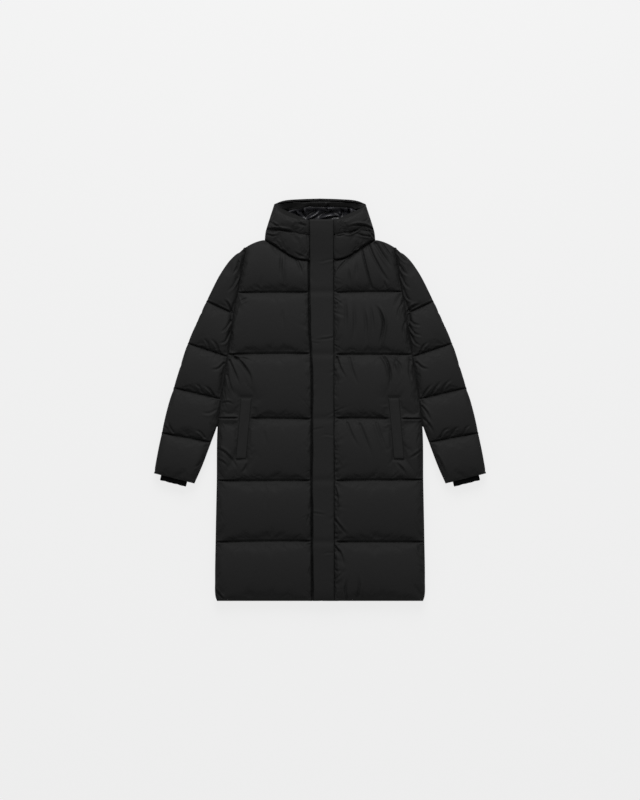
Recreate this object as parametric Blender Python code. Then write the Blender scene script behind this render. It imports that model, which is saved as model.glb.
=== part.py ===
"""A long hooded puffer coat, closed and laid flat on its back.

Metres. +Z is up from the surface it lies on, +Y runs from hem to hood, +X is the wearer's left.
The origin is on that surface, under the middle of the coat's box.

Every quilted piece is a wall with one flat face, turned to the inside of the coat, and one
padded face, which swells between its stitch lines and thins to SEAM_WALL along each of them.
"""

import math

import bmesh
import bpy
import numpy as np

# --- Driving sizes -----------------------------------------------------------------------------
SEAM_GAP = 0.0004            # between pieces that are sewn together
LAYER_GAP = 0.0008           # between the coat's front and back layers
MID_HEIGHT = 0.024           # height of the plane where the two layers meet
SEAM_WALL = 0.003            # thickness of a padded wall on a stitch line
LOFT = 0.0205                # padding above that, at its fullest
EDGE_RADIUS = 0.026          # how quickly the padding swells from a side seam
ROW_RADIUS = 0.032           # how quickly it swells from a quilting line
ROW_DOME = 0.10              # share of the loft gained towards a row's middle
ZIP_X = 0.004                # the closure lies a little off the coat's middle
ZIP_WIDTH = 0.007
ZIP_THICK = 0.004
FLAP_THICK = 0.0055
FLAP_SEWN = 0.0025           # its thickness along the edge that is sewn down
WELT_ENDS = (-0.1765, 0.0055)
WELT_THICK = 0.0045
WELT_SEAT = 0.0405           # height of the front under the welt
RIB_WALL = 0.0032
RIB_WIDTH = 0.081
RIB_SHOWN = 0.0133           # how far the cuff stands out of the sleeve
RIB_HIDDEN = 0.036           # and how far it goes in
RIB_CAVITY = 0.005           # half height of the sleeve's mouth, which holds it
LINING_THICK = 0.0016
FACING_THICK = 0.0020
HOOD_REST = 0.0009           # between the hood's crown and what lines it
CROWN_CURL = 0.034           # how far the hood's crown takes to turn up to its lip
CROWN_HEIGHT = 0.058
CROWN_CORNER = 0.007         # how much of the crown's lip, by each corner, doesn't rise yet
CROWN_INSIDE = 0.018         # height of the crown's inner face where it lies flat
LIP_THICK = 0.005

FRONT_FLOOR = MID_HEIGHT + LAYER_GAP / 2
BACK_CEILING = MID_HEIGHT - LAYER_GAP / 2
BACK_LOFT = BACK_CEILING - SEAM_WALL

FABRICS = {
    "shell": {"colour": (0.017, 0.017, 0.018, 1.0), "roughness": 0.62},
    "lining": {"colour": (0.030, 0.030, 0.034, 1.0), "roughness": 0.38},
    "rib": {"colour": (0.008, 0.008, 0.009, 1.0), "roughness": 0.85},
    "zip": {"colour": (0.014, 0.014, 0.015, 1.0), "roughness": 0.45},
}

# --- Outlines: each is a table of places that one smooth line goes through ----------------------
# Half the coat's width: up the side seam, then from the underarm up the armhole.
BODY_SIDE = {
    "y": (-0.603, -0.590, -0.540, -0.430, -0.250, -0.075, 0.011, 0.132, 0.256, 0.330, 0.400, 0.459),
    "x": (0.3090, 0.3135, 0.3150, 0.3135, 0.3100, 0.3070, 0.2965, 0.2770, 0.2595, 0.2455, 0.2335, 0.2220),
}
# The front neckline from the closure out to the side of the neck, and on along the shoulder.
NECKLINE = {
    "x": (0.000, 0.036, 0.060, 0.082, 0.108, 0.136, 0.158, 0.166, 0.181, 0.204, 0.222),
    "y": (0.4185, 0.4190, 0.4220, 0.4295, 0.4450, 0.4630, 0.4755, 0.4795, 0.4775, 0.4690, 0.4590),
}
# Half the hood's width, from the neck to the corner of its mouth.
HOOD_SIDE = {"y": (0.4795, 0.5050, 0.5320, 0.5600, 0.5880), "x": (0.1660, 0.1630, 0.1550, 0.1460, 0.1370)}
# The hood's quilting line, the lower lip of its mouth, and its crown, from the middle outwards.
HOOD_QUILT = {"x": (0.0, 0.036, 0.080, 0.118, 0.163), "y": (0.4935, 0.4940, 0.5025, 0.5080, 0.5050)}
LOWER_LIP = {
    "x": (0.0, 0.040, 0.060, 0.087, 0.110, 0.127, 0.137),
    "y": (0.5380, 0.5385, 0.5405, 0.5465, 0.5575, 0.5700, 0.5880),
}
CROWN = {"x": (0.0, 0.060, 0.112, 0.137), "y": (0.6030, 0.6010, 0.5965, 0.5880)}
# How far up the crown's inside the lining goes: 1 is where it starts to curl up, 2 is the lip.
LINING_TOP = {"across": (0.0, 0.45, 0.60, 0.72, 1.00), "along": (1.36, 1.38, 1.12, 0.90, 0.86)}
# Heights on the coat's body of its quilting lines, hem first.
BODY_QUILTS = (-0.603, -0.425, -0.241, -0.056, 0.1375, 0.3240)
# Two lines down each front that run along the pocket's welt.
POCKET_LINES = {
    "y": (-0.6030, -0.1765, 0.0055, 0.3240),
    "inner_x": (0.2240, 0.2215, 0.2050, 0.1600),
    "outer_x": (0.2560, 0.2525, 0.2370, 0.1960),
}
# The outer fold of the sleeve, and its inner seam below the underarm.
SLEEVE_OUTER = {
    "y": (-0.2200, -0.1400, -0.0440, 0.0520, 0.1480, 0.2440, 0.3160, 0.3880, 0.4330, 0.4555),
    "x": (0.4985, 0.4840, 0.4630, 0.4350, 0.4050, 0.3660, 0.3310, 0.2930, 0.2580, 0.2290),
}
SLEEVE_INNER = {
    "y": (-0.2505, -0.2000, -0.1270, -0.0950, -0.0750),
    "x": (0.3770, 0.3545, 0.3270, 0.3150, 0.3082),
}
# Where each line across the sleeve meets those two edges, hem first.
SLEEVE_LINES = {
    "name": ("hem", "quilt_4", "quilt_3", "quilt_2", "quilt_1", "upper", "top"),
    "place": (0.0, 1.0, 2.0, 3.0, 4.0, 4.65, 5.0),
    "outer_y": (-0.2200, -0.0985, 0.0365, 0.1700, 0.2965, 0.4090, 0.4555),
    "inner_y": (-0.2505, -0.1270, 0.0030, 0.1300, 0.2590, 0.3720, 0.4500),
}
SLEEVE_ROWS = 5
# The storm flap, hem to chin: its free edge, its sewn edge and the height of its underside.
FLAP = {
    "y": (-0.603, -0.580, -0.550, -0.250, 0.150, 0.195, 0.360, 0.419, 0.470, 0.510, 0.541),
    "free_x": (-0.0205, -0.0206, -0.0207, -0.0225, -0.0245, -0.028, -0.0305, -0.031, -0.0314, -0.0317, -0.032),
    "sewn_x": (0.0425, 0.0425, 0.0424, 0.0420, 0.0410, 0.0410, 0.0406, 0.0405, 0.0406, 0.0408, 0.0410),
    "under": (0.0310, 0.0370, 0.0400, 0.0400, 0.0400, 0.0400, 0.0400, 0.0430, 0.0520, 0.0590, 0.0610),
}
# Places of the grid lines across one quilted row, as shares of its length.
ROW_STEPS = (0.0, 0.03, 0.11, 0.30, 0.70, 0.89, 0.97)
# How the hood lifts off the layer below it: at the neckline, at its quilting line, at its lip.
HOOD_LIFT = {"y": (0.419, 0.4935, 0.538), "lift": (0.0, 0.013, 0.026)}
# Raised folds of the hood's lining: where each crosses the hood's middle height, and its size.
LINING_FOLDS = {
    "x": (-0.084, -0.050, -0.006, 0.048, 0.083),
    "slant": (0.55, 0.30, -0.75, -0.25, 0.15),
    "height": (0.004, 0.008, 0.009, 0.010, 0.005),
    "width": (0.009, 0.014, 0.016, 0.019, 0.009),
}


# --- Lines and surfaces ---------------------------------------------------------------------------
def smooth(table, key, value, at):
    """The table's value column read at places along its key column, on one smooth curve."""
    keys, values = np.array(table[key]), np.array(table[value])
    spans = np.diff(values) / np.diff(keys)
    slopes = np.concatenate([spans[:1], (spans[1:] + spans[:-1]) / 2, spans[-1:]])
    at = np.clip(np.asarray(at, float), keys[0], keys[-1])
    i = np.clip(np.searchsorted(keys, at) - 1, 0, len(keys) - 2)
    width = keys[i + 1] - keys[i]
    t = (at - keys[i]) / width
    start = (1 + 2 * t) * (1 - t) ** 2 * values[i] + t * (1 - t) ** 2 * width * slopes[i]
    end = t * t * (3 - 2 * t) * values[i + 1] + t * t * (t - 1) * width * slopes[i + 1]
    return start + end


def swell(distance, radius):
    """The share of full loft at a distance from a stitch line: a quarter circle, then flat."""
    reach = np.clip(np.asarray(distance) / radius, 0, 1)
    return np.sqrt(1 - (1 - reach) ** 2)


def row_swell(share, length, dome=ROW_DOME):
    """The share of full loft along a row between two stitch lines."""
    edge = swell(np.minimum(share, 1 - share) * length, ROW_RADIUS)
    return edge * (1 - dome + dome * np.sin(math.pi * share))


def row_lines(rows):
    """Every grid line of a number of quilted rows, as (row, share of the row)."""
    return [(row, step) for row in range(rows) for step in ROW_STEPS] + [(rows - 1, 1.0)]


def slide(low, high, share):
    """The place a share of the way from low to high."""
    return low + share * (high - low)


# --- Building solids --------------------------------------------------------------------------------
def fabric(name):
    """A plain Principled material for one kind of cloth."""
    material = bpy.data.materials.new(name)
    material.use_nodes = True
    shader = material.node_tree.nodes["Principled BSDF"]
    shader.inputs["Base Color"].default_value = FABRICS[name]["colour"]
    shader.inputs["Roughness"].default_value = FABRICS[name]["roughness"]
    shader.inputs["Metallic"].default_value = 0.0
    return material


def add_grid(mesh, points):
    """Adds a grid of points joined by quads, and returns its vertices in the order of its rim."""
    corners = [[mesh.verts.new(point) for point in row] for row in points]
    for low, high in zip(corners[:-1], corners[1:]):
        for c in range(len(low) - 1):
            mesh.faces.new((low[c], low[c + 1], high[c + 1], high[c]))
    right = [row[-1] for row in corners[1:-1]]
    left = [row[0] for row in corners[-2:0:-1]]
    return corners[0] + right + corners[-1][::-1] + left


def join_rims(mesh, rim, other):
    """Joins two matching rims of vertices by a strip of quads."""
    for i in range(len(rim)):
        j = (i + 1) % len(rim)
        mesh.faces.new((rim[i], rim[j], other[j], other[i]))


def wall(name, outer, inner, material):
    """A closed wall of cloth between two matching grids of points."""
    mesh = bmesh.new()
    join_rims(mesh, add_grid(mesh, outer), add_grid(mesh, inner))
    return finish(name, mesh, material)


def flat_wall(name, outer, level, material):
    """A closed wall between a grid of points and a level face of the same outline."""
    mesh = bmesh.new()
    rim = add_grid(mesh, outer)
    inner = [mesh.verts.new((v.co.x, v.co.y, level)) for v in rim]
    join_rims(mesh, rim, inner)
    mesh.faces.new(inner)
    return finish(name, mesh, material)


def ring_wall(name, rings, material):
    """A closed wall through a loop of rings, out along its outside and back along its inside."""
    mesh = bmesh.new()
    rings = [[mesh.verts.new(point) for point in ring] for ring in rings]
    for ring, onward in zip(rings, rings[1:] + rings[:1]):
        join_rims(mesh, ring, onward)
    return finish(name, mesh, material)


def finish(name, mesh, material):
    """Turns every face outward, merges level facets and makes a named object of the mesh."""
    bmesh.ops.recalc_face_normals(mesh, faces=mesh.faces)
    mesh.normal_update()
    bmesh.ops.dissolve_limit(mesh, angle_limit=math.radians(0.2), verts=mesh.verts, edges=mesh.edges)
    data = bpy.data.meshes.new(name)
    mesh.to_mesh(data)
    mesh.free()
    data.materials.append(material)
    data.shade_smooth()
    data.set_sharp_from_angle(angle=math.radians(35))
    made = bpy.data.objects.new(name, data)
    bpy.context.scene.collection.objects.link(made)
    return made


# --- The coat's body -----------------------------------------------------------------------------------
UNDER_FLAP = slice(0, 3)
WELT_LINES = slice(6, 8)
ARMHOLE_LINES = slice(9, 12)


def flap_edge(y, side):
    """How far from the coat's middle the storm flap's edge is, on one side."""
    return np.abs(smooth(FLAP, "y", "sewn_x" if side > 0 else "free_x", y))


def flap_seat(y):
    """The height of what the storm flap lies on."""
    return smooth(FLAP, "y", "under", y) - SEAM_GAP


def closure_columns(y, side):
    """The first grid lines of a front: the closure, one by it, the flap's edge, two beyond it."""
    edge = flap_edge(y, side)
    closure = 0 * edge + ZIP_X * side + ZIP_WIDTH / 2 + SEAM_GAP
    return [closure, closure + 0.008, edge, edge + 0.006, edge + 0.022]


def front_columns(y, side):
    """How far from the middle each grid line of a front is, at heights below the shoulder."""
    first = closure_columns(y, side)
    welt = [np.interp(y, POCKET_LINES["y"], POCKET_LINES[edge]) for edge in ("inner_x", "outer_x")]
    seam = smooth(BODY_SIDE, "y", "x", y)
    last = [seam - EDGE_RADIUS, seam - 0.009, seam - 0.002, seam]
    return np.stack(first + [(first[-1] + welt[0]) / 2] + welt + last, axis=-1)


def top_columns(side):
    """The same grid lines where they end, at the neckline and along the shoulder seam."""
    return np.array(closure_columns(0.419, side) + [0.098, 0.132, 0.166, 0.190, 0.213, 0.2200, 0.2220])


def body_row(row, share, side):
    """One grid line across a front: how far out, how high up the coat, and the row's length."""
    low = BODY_QUILTS[row]
    if row < len(BODY_QUILTS) - 1:
        length = BODY_QUILTS[row + 1] - low
        x = front_columns(low + share * length, side)
        return x, np.full_like(x, low + share * length), np.full_like(x, length)
    top = top_columns(side)
    length = smooth(NECKLINE, "x", "y", top) - low
    y = low + share * length
    x = slide(front_columns(low, side), top, share)
    followed = np.diagonal(front_columns(y, side))
    x[UNDER_FLAP] = followed[UNDER_FLAP]
    x[ARMHOLE_LINES] = followed[ARMHOLE_LINES]
    return x, y, length


def welt_rows():
    """The grid lines that the two ends of the pocket's welt add to a front."""
    found = []
    for y in WELT_ENDS:
        row = int(np.searchsorted(BODY_QUILTS, y)) - 1
        found.append((row, (y - BODY_QUILTS[row]) / (BODY_QUILTS[row + 1] - BODY_QUILTS[row])))
    return found


def front_lines():
    """Every grid line across a front, as (row, share of the row)."""
    return sorted(row_lines(len(BODY_QUILTS)) + welt_rows())


def front(name, side, material):
    """One front, padded upwards, from the closure to the side seam, the armhole and the neckline."""
    rows = []
    for row, share in front_lines():
        x, y, length = body_row(row, share, side)
        loft = LOFT * row_swell(share, length) * swell(x[-1] - x, EDGE_RADIUS)
        z = FRONT_FLOOR + SEAM_WALL + loft
        if WELT_ENDS[0] - 1e-6 <= y[0] <= WELT_ENDS[1] + 1e-6:
            z[WELT_LINES] = WELT_SEAT
        z[UNDER_FLAP] = flap_seat(y[UNDER_FLAP])
        z[0] = FRONT_FLOOR + SEAM_WALL
        rows.append(np.stack([x * side, y, z], axis=-1))
    return flat_wall(name, rows, FRONT_FLOOR, material)


def back(name, material):
    """The back, padded downwards on to the surface, from side seam to side seam."""
    rows = []
    kept = [0, 5, 7, 8, 9, 10, 11]
    for row, share in row_lines(len(BODY_QUILTS)):
        x, y, length = (values[kept] for values in body_row(row, share, 1))
        x[0] = 0.0
        if row == len(BODY_QUILTS) - 1:
            length[:3] = HOOD_SIDE["y"][0] - BODY_QUILTS[row]
            y = BODY_QUILTS[row] + share * length
        loft = BACK_LOFT * row_swell(share, length, 0.0) * swell(x[-1] - x, EDGE_RADIUS)
        half = np.stack([x, y, BACK_CEILING - SEAM_WALL - loft], axis=-1)
        rows.append(np.concatenate([half[:0:-1] * (-1, 1, 1), half]))
    return flat_wall(name, rows, BACK_CEILING, material)


def welt(name, side, material):
    """The pocket's welt: a folded strip that lies along the front's two pocket lines."""
    places = np.array([0.0, 0.012, 0.05, 0.5, 0.95, 0.988, 1.0])[:, None]
    across = np.array([0.0, 0.05, 0.18, 0.82, 0.95, 1.0])
    lengthwise = np.array([0.35, 0.85, 1.0, 1.0, 1.0, 0.85, 0.35])[:, None]
    crosswise = np.array([0.35, 0.8, 1.0, 1.0, 0.8, 0.35])
    y = slide(WELT_ENDS[0] + SEAM_GAP, WELT_ENDS[1] - SEAM_GAP, places)
    inner = np.interp(y, POCKET_LINES["y"], POCKET_LINES["inner_x"]) + SEAM_GAP
    outer = np.interp(y, POCKET_LINES["y"], POCKET_LINES["outer_x"]) - SEAM_GAP
    x = slide(inner, outer, across) * side
    z = WELT_SEAT + SEAM_GAP + WELT_THICK * np.minimum(lengthwise, crosswise)
    return flat_wall(name, np.stack([x, y + 0 * x, z], axis=-1), WELT_SEAT + SEAM_GAP, material)


# --- The sleeves -----------------------------------------------------------------------------------------
def sleeve_line(place):
    """The two ends of a line across the sleeve: at its inner seam, and at its outer fold."""
    seam_y = smooth(SLEEVE_LINES, "place", "inner_y", place)
    fold_y = smooth(SLEEVE_LINES, "place", "outer_y", place)
    along_armhole = smooth(BODY_SIDE, "y", "x", seam_y) + SEAM_GAP
    seam_x = np.where(seam_y > SLEEVE_INNER["y"][-1], along_armhole, smooth(SLEEVE_INNER, "y", "x", seam_y))
    return np.array([seam_x, seam_y]), np.array([smooth(SLEEVE_OUTER, "y", "x", fold_y), fold_y])


def both_layers(upper, lower):
    """Rows over the upper layer to the fold and back under the lower one, which share the fold."""
    return np.concatenate([upper, lower[-2::-1]])


def sleeve(name, side, material):
    """A sleeve: one padded piece folded round its outer edge, open along its inner seam."""
    outer_rows, inner_rows = [], []
    for row, share in row_lines(SLEEVE_ROWS):
        middles = [np.add(*sleeve_line(place)) / 2 for place in (row, row + 1)]
        length = np.linalg.norm(middles[1] - middles[0])
        seam, fold = sleeve_line(row + share)
        width = np.linalg.norm(fold - seam)
        near = np.minimum(np.array([0.002, 0.009, 0.022]) / width, (0.08, 0.2, 0.36))
        across = np.concatenate([[0.0], near, [0.5], 1 - near[::-1], [1.0]])
        to_edge = np.minimum(across, 1 - across) * width
        loft = row_swell(share, length, 0.0) * swell(to_edge, min(EDGE_RADIUS, 0.45 * width))
        # Inside, the two layers lie on each other, and part near the hem to hold the cuff.
        parted = slide(RIB_CAVITY, LAYER_GAP / 2, np.clip(((row + share) * length - 0.045) / 0.022, 0, 1))
        parted = np.where(to_edge > 0.0215, parted, LAYER_GAP / 2)
        upper = MID_HEIGHT + np.maximum(parted, LAYER_GAP / 2) + SEAM_WALL
        upper = np.maximum(upper, FRONT_FLOOR + SEAM_WALL + LOFT * loft)
        lower = np.minimum(MID_HEIGHT - parted - SEAM_WALL, BACK_CEILING - SEAM_WALL - BACK_LOFT * loft)
        upper[-1] = MID_HEIGHT
        plan = seam + across[:, None] * (fold - seam)
        stop = 1 - min(0.0065 / width, 0.45)
        hollow = seam + np.minimum(across, stop - 0.1 * (1 - across))[:, None] * (fold - seam)
        ceiling = MID_HEIGHT + parted
        ceiling[-1] = MID_HEIGHT
        outer_rows.append(np.column_stack([both_layers(plan, plan), both_layers(upper, lower)]))
        inner_rows.append(np.column_stack([both_layers(hollow, hollow), both_layers(ceiling, MID_HEIGHT - parted)]))
    mirrored = (side, 1, 1)
    return wall(name, np.array(outer_rows) * mirrored, np.array(inner_rows) * mirrored, material)


def rib_cuff(name, side, material):
    """A flattened tube of ribbed knit, held in the sleeve's mouth."""
    seam, fold = sleeve_line(0.0)
    middle = (seam + fold) / 2
    along = (fold - seam) / np.linalg.norm(fold - seam)
    out = np.array([along[1], -along[0]])
    half_height = RIB_CAVITY - SEAM_GAP
    turns = np.linspace(0, 2 * math.pi, 28, endpoint=False) + 0.01
    rings = []
    places = (-RIB_HIDDEN, -0.012, 0.0, RIB_SHOWN)
    for place, inset in [(p, 0.0) for p in places] + [(p, RIB_WALL) for p in places[::-1]]:
        corner = half_height - inset
        across = np.sign(np.cos(turns)) * (RIB_WIDTH / 2 - half_height) + corner * np.cos(turns)
        plan = middle + out * place + across[:, None] * along
        rings.append(np.column_stack([plan * (side, 1), MID_HEIGHT + corner * np.sin(turns)]))
    return ring_wall(name, rings, material)


# --- The hood ---------------------------------------------------------------------------------------------
def hood_side(name, side, material):
    """One side of the hood, padded upwards: it rises from the neckline to the lip of the mouth."""
    chin = closure_columns(0.54, side)
    levels = np.array([
        list(top_columns(side)[:7]) + [0.1520, 0.1625, 0.1660],
        closure_columns(0.50, side) + [0.096, 0.129, 0.1490, 0.1595, 0.1630],
        chin[:4] + [chin[4] - 0.002, 0.082, 0.108, 0.1245, 0.1338, 0.1370],
    ])
    heights = np.array([
        smooth(NECKLINE, "x", "y", levels[0]) + SEAM_GAP,
        smooth(HOOD_QUILT, "x", "y", levels[1]),
        smooth(LOWER_LIP, "x", "y", levels[2]),
    ])
    outer_rows, inner_rows = [], []
    for row, share in row_lines(2):
        x = slide(levels[row], levels[row + 1], share)
        y = slide(heights[row], heights[row + 1], share)
        x[7:] += (smooth(HOOD_SIDE, "y", "x", y[-1]) - x[-1]) * np.array([0.6, 0.9, 1.0])
        lift = slide(HOOD_LIFT["lift"][row], HOOD_LIFT["lift"][row + 1], share)
        under = FRONT_FLOOR + lift * swell(x[-1] - x, 0.075)
        loft = row_swell(share, heights[row + 1] - heights[row]) * swell(x[-1] - x, EDGE_RADIUS)
        z = under + SEAM_WALL + (LOFT - 0.002 * row) * loft
        z[UNDER_FLAP] = flap_seat(y[UNDER_FLAP])
        z[0] = under[0] + SEAM_WALL
        outer_rows.append(np.column_stack([x * side, y, z]))
        inner_rows.append(np.column_stack([x * side, y, under]))
    return wall(name, outer_rows, inner_rows, material)


def crown_surface(across, along, inside):
    """Points of the hood's crown: across it from -1 to 1, along it from the neck, 0, to the lip, 2.

    Up to 1 it lies flat. From 1 to 2 it turns up through a quarter of an ellipse.
    """
    across, along = np.broadcast_arrays(np.asarray(across, float), np.asarray(along, float))
    reach = np.abs(across)
    lip_y = smooth(CROWN, "x", "y", reach * CROWN["x"][-1])
    neck_y = HOOD_SIDE["y"][0] + SEAM_GAP
    turn = np.clip(along - 1, 0, 1) * math.pi / 2
    to_corner = (1 - reach) * CROWN["x"][-1]
    lip_z = slide(BACK_CEILING - SEAM_WALL, CROWN_HEIGHT, swell(to_corner - CROWN_CORNER, 0.070))
    curl = np.full_like(across, CROWN_CURL)
    if inside:
        lip_z = lip_z + SEAM_WALL * (1 - swell(to_corner, 0.045))
        curl = curl - LIP_THICK * swell(to_corner, 0.045)
    y = slide(neck_y, lip_y - CROWN_CURL, np.clip(along, 0, 1)) + curl * np.sin(turn)
    half = smooth(HOOD_SIDE, "y", "x", y)
    full = swell(half * (1 - reach), 0.030) * swell(y - neck_y, 0.024)
    flat_z = slide(BACK_CEILING, CROWN_INSIDE, full) if inside else (BACK_CEILING - SEAM_WALL) * (1 - full)
    return np.stack([across * half, y, slide(lip_z, flat_z, np.cos(turn))], axis=-1)


def crown_columns(reach):
    """Places across the crown, no further than reach from its middle."""
    half = np.array([0.0, 0.15, 0.30, 0.44, 0.57, 0.68, 0.78, 0.86, 0.93, 0.98, 1.0])
    half = half[half <= reach]
    return np.concatenate([-half[:0:-1], half])


def hood_crown(name, material):
    """The back and crown of the hood: flat on the surface, then turned up to the upper lip."""
    along = np.array([0.0, 0.03, 0.10, 0.28, 0.64, 1.0, 1.17, 1.34, 1.5, 1.67, 1.84, 2.0])[:, None]
    across = crown_columns(1.0)
    return wall(name, crown_surface(across, along, False), crown_surface(across, along, True), material)


def moved_off(points, distance):
    """A grid of points moved off its surface, to the side that faces up and towards the hem."""
    normal = np.cross(np.gradient(points, axis=1), np.gradient(points, axis=0))
    return points + normal / np.linalg.norm(normal, axis=-1, keepdims=True) * distance


def hood_facing(name, material):
    """The band of shell cloth inside the mouth of the hood, from the lip to the lining."""
    across = crown_columns(0.93)
    low = smooth(LINING_TOP, "across", "along", np.abs(across))
    seat = crown_surface(across, slide(low, 1.97, np.linspace(0, 1, 8)[:, None]), True)
    return wall(name, moved_off(seat, HOOD_REST + FACING_THICK), moved_off(seat, HOOD_REST), material)


def hood_lining(name, material):
    """The lining inside the hood, with the loose folds that it lies in."""
    across = np.unique(np.concatenate([crown_columns(0.93), np.linspace(-0.68, 0.68, 17)]).round(2))
    top = smooth(LINING_TOP, "across", "along", np.abs(across)) - 0.05
    share = np.linspace(0, 1, 8)[:, None]
    seat = crown_surface(across, slide(0.12, top, share), True)
    height = np.zeros(seat.shape[:2])
    for x, slant, size, width in zip(*(LINING_FOLDS[key] for key in ("x", "slant", "height", "width"))):
        offset = seat[..., 0] - x - slant * (seat[..., 1] - 0.555)
        height = np.maximum(height, size * np.exp(-((offset / width) ** 2)))
    height = height * swell(0.85 - share, 0.3) * swell(0.93 - np.abs(across), 0.12)
    under = moved_off(seat, HOOD_REST) + height[..., None] * (0, 0, 1)
    return wall(name, moved_off(under, LINING_THICK), under, material)


# --- The closure -------------------------------------------------------------------------------------------
def closure_stations():
    """The heights up the coat of the grid lines under the storm flap, hem to chin."""
    body = [body_row(row, share, 1)[1][1] for row, share in front_lines()]
    hood = [slide(HOOD_LIFT["y"][row], HOOD_LIFT["y"][row + 1], share) for row, share in row_lines(2)]
    return np.array(body[:-1] + hood)


def raised(plan, heights):
    """A grid of plan positions with heights."""
    return np.concatenate([plan, heights[..., None]], axis=-1)


def storm_flap(name, material):
    """The flap over the closure: free along one edge, sewn down along the other."""
    y = np.concatenate([[-0.6], closure_stations()[1:], [0.5408]])[:, None]
    free = smooth(FLAP, "y", "free_x", y) + 1.5 * SEAM_GAP
    sewn = smooth(FLAP, "y", "sewn_x", y) - 1.5 * SEAM_GAP
    across = np.array([0.0, 0.024, 0.10, 0.48, 0.87, 0.95, 1.0])
    thick = FLAP_THICK * np.array([0.4, 0.82, 1.0, 1.0, 1.0, 0.75, FLAP_SEWN / FLAP_THICK])
    x = slide(free, sewn, across)
    seat = smooth(FLAP, "y", "under", y) + 0 * x
    ends = np.where((y == y[0]) | (y == y[-1]), 0.55, 1.0)
    plan = np.stack([x, y + 0 * x], axis=-1)
    return wall(name, raised(plan, seat + thick * ends), raised(plan, seat), material)


def front_zip(name, material):
    """The closed zip: one plain band between the two edges of the closure."""
    y = np.concatenate([[-0.597], closure_stations()[2:-1]])[:, None]
    x = ZIP_X + ZIP_WIDTH * np.array([-0.5, -0.22, 0.22, 0.5]) + 0 * y
    under = FRONT_FLOOR + np.interp(y, HOOD_LIFT["y"], HOOD_LIFT["lift"]) + 0 * x
    plan = np.stack([x, y + 0 * x], axis=-1)
    rounded = ZIP_THICK * np.array([0.5, 1.0, 1.0, 0.5])
    return wall(name, raised(plan, under + rounded), raised(plan, under), material)


def main():
    """Builds every piece of the coat."""
    for old in list(bpy.data.objects):
        bpy.data.objects.remove(old, do_unlink=True)
    shell, lining, rib, tape = (fabric(name) for name in FABRICS)
    back("back", shell)
    for hand, side in (("right", -1), ("left", 1)):
        front("front_" + hand, side, shell)
        sleeve("sleeve_" + hand, side, shell)
        rib_cuff("rib_cuff_" + hand, side, rib)
        welt("pocket_welt_" + hand, side, shell)
        hood_side("hood_side_" + hand, side, shell)
    hood_crown("hood_crown", shell)
    hood_facing("hood_facing", shell)
    hood_lining("hood_lining", lining)
    front_zip("front_zip", tape)
    storm_flap("storm_flap", shell)


main()
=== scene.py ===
"""The looks of a long hooded puffer coat, closed and laid flat on its back.

Metres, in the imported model's frame: +Y runs from hem to hood, +Z up, +X to the wearer's left.
Each piece of cloth is a surface over two parameters, u across it and v along it, worked out as
whole arrays. Padded pieces are then blown up between their stitch lines by the cloth solver, and
their main folds are laid on after it.
"""

import logging
import math
from dataclasses import dataclass, field
from enum import Enum

import bmesh
import bpy
import numpy as np
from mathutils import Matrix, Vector


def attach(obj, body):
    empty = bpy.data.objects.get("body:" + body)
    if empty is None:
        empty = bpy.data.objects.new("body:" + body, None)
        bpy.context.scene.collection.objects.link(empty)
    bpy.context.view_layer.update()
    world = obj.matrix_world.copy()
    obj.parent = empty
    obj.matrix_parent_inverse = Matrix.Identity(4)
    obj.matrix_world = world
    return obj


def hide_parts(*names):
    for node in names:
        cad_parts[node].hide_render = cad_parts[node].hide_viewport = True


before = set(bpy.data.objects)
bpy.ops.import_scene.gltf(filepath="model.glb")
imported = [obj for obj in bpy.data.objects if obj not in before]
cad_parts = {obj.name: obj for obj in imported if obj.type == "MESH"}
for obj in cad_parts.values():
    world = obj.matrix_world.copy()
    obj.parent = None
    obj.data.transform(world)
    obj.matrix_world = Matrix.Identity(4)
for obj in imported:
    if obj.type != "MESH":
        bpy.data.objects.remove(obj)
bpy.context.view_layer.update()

Array = np.ndarray
Place = tuple[float, float]
Tree = bpy.types.NodeTree
Socket = bpy.types.NodeSocket
log = logging.getLogger("coat")

# Sizes shared by the pieces.
SEAM_GAP = 0.0004
MID_HEIGHT = 0.024
FRONT_FLOOR = 0.0244
BACK_CEILING = 0.0236
SEAM_WALL = 0.003
LOFT = 0.0205
EDGE_RADIUS = 0.026
ARMHOLE_RADIUS = 0.012
SHOULDER_TIP = 0.459
ROW_RADIUS = 0.032
BODY_QUILTS = (-0.603, -0.425, -0.241, -0.056, 0.1375, 0.3240)
WELT_ENDS = (-0.1765, 0.0055)
WELT_SEAT = 0.0405
RIB_CAVITY = 0.005
RIB_WIDTH = 0.081
CLOSURE = 0.004
CLOSURE_HALF = 0.0035
FLAP_ENDS = (-0.6005, 0.5408)
HOOD_LEVELS = (0.419, 0.4935, 0.538)
LAYER_GAP = 0.0004
MOUTH_HALF = 0.137


class Cloth(Enum):
    """The kinds of cloth in the coat."""

    SHELL = "shell"
    LINING = "lining"
    RIB = "rib"
    TAPE = "zip"


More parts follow.
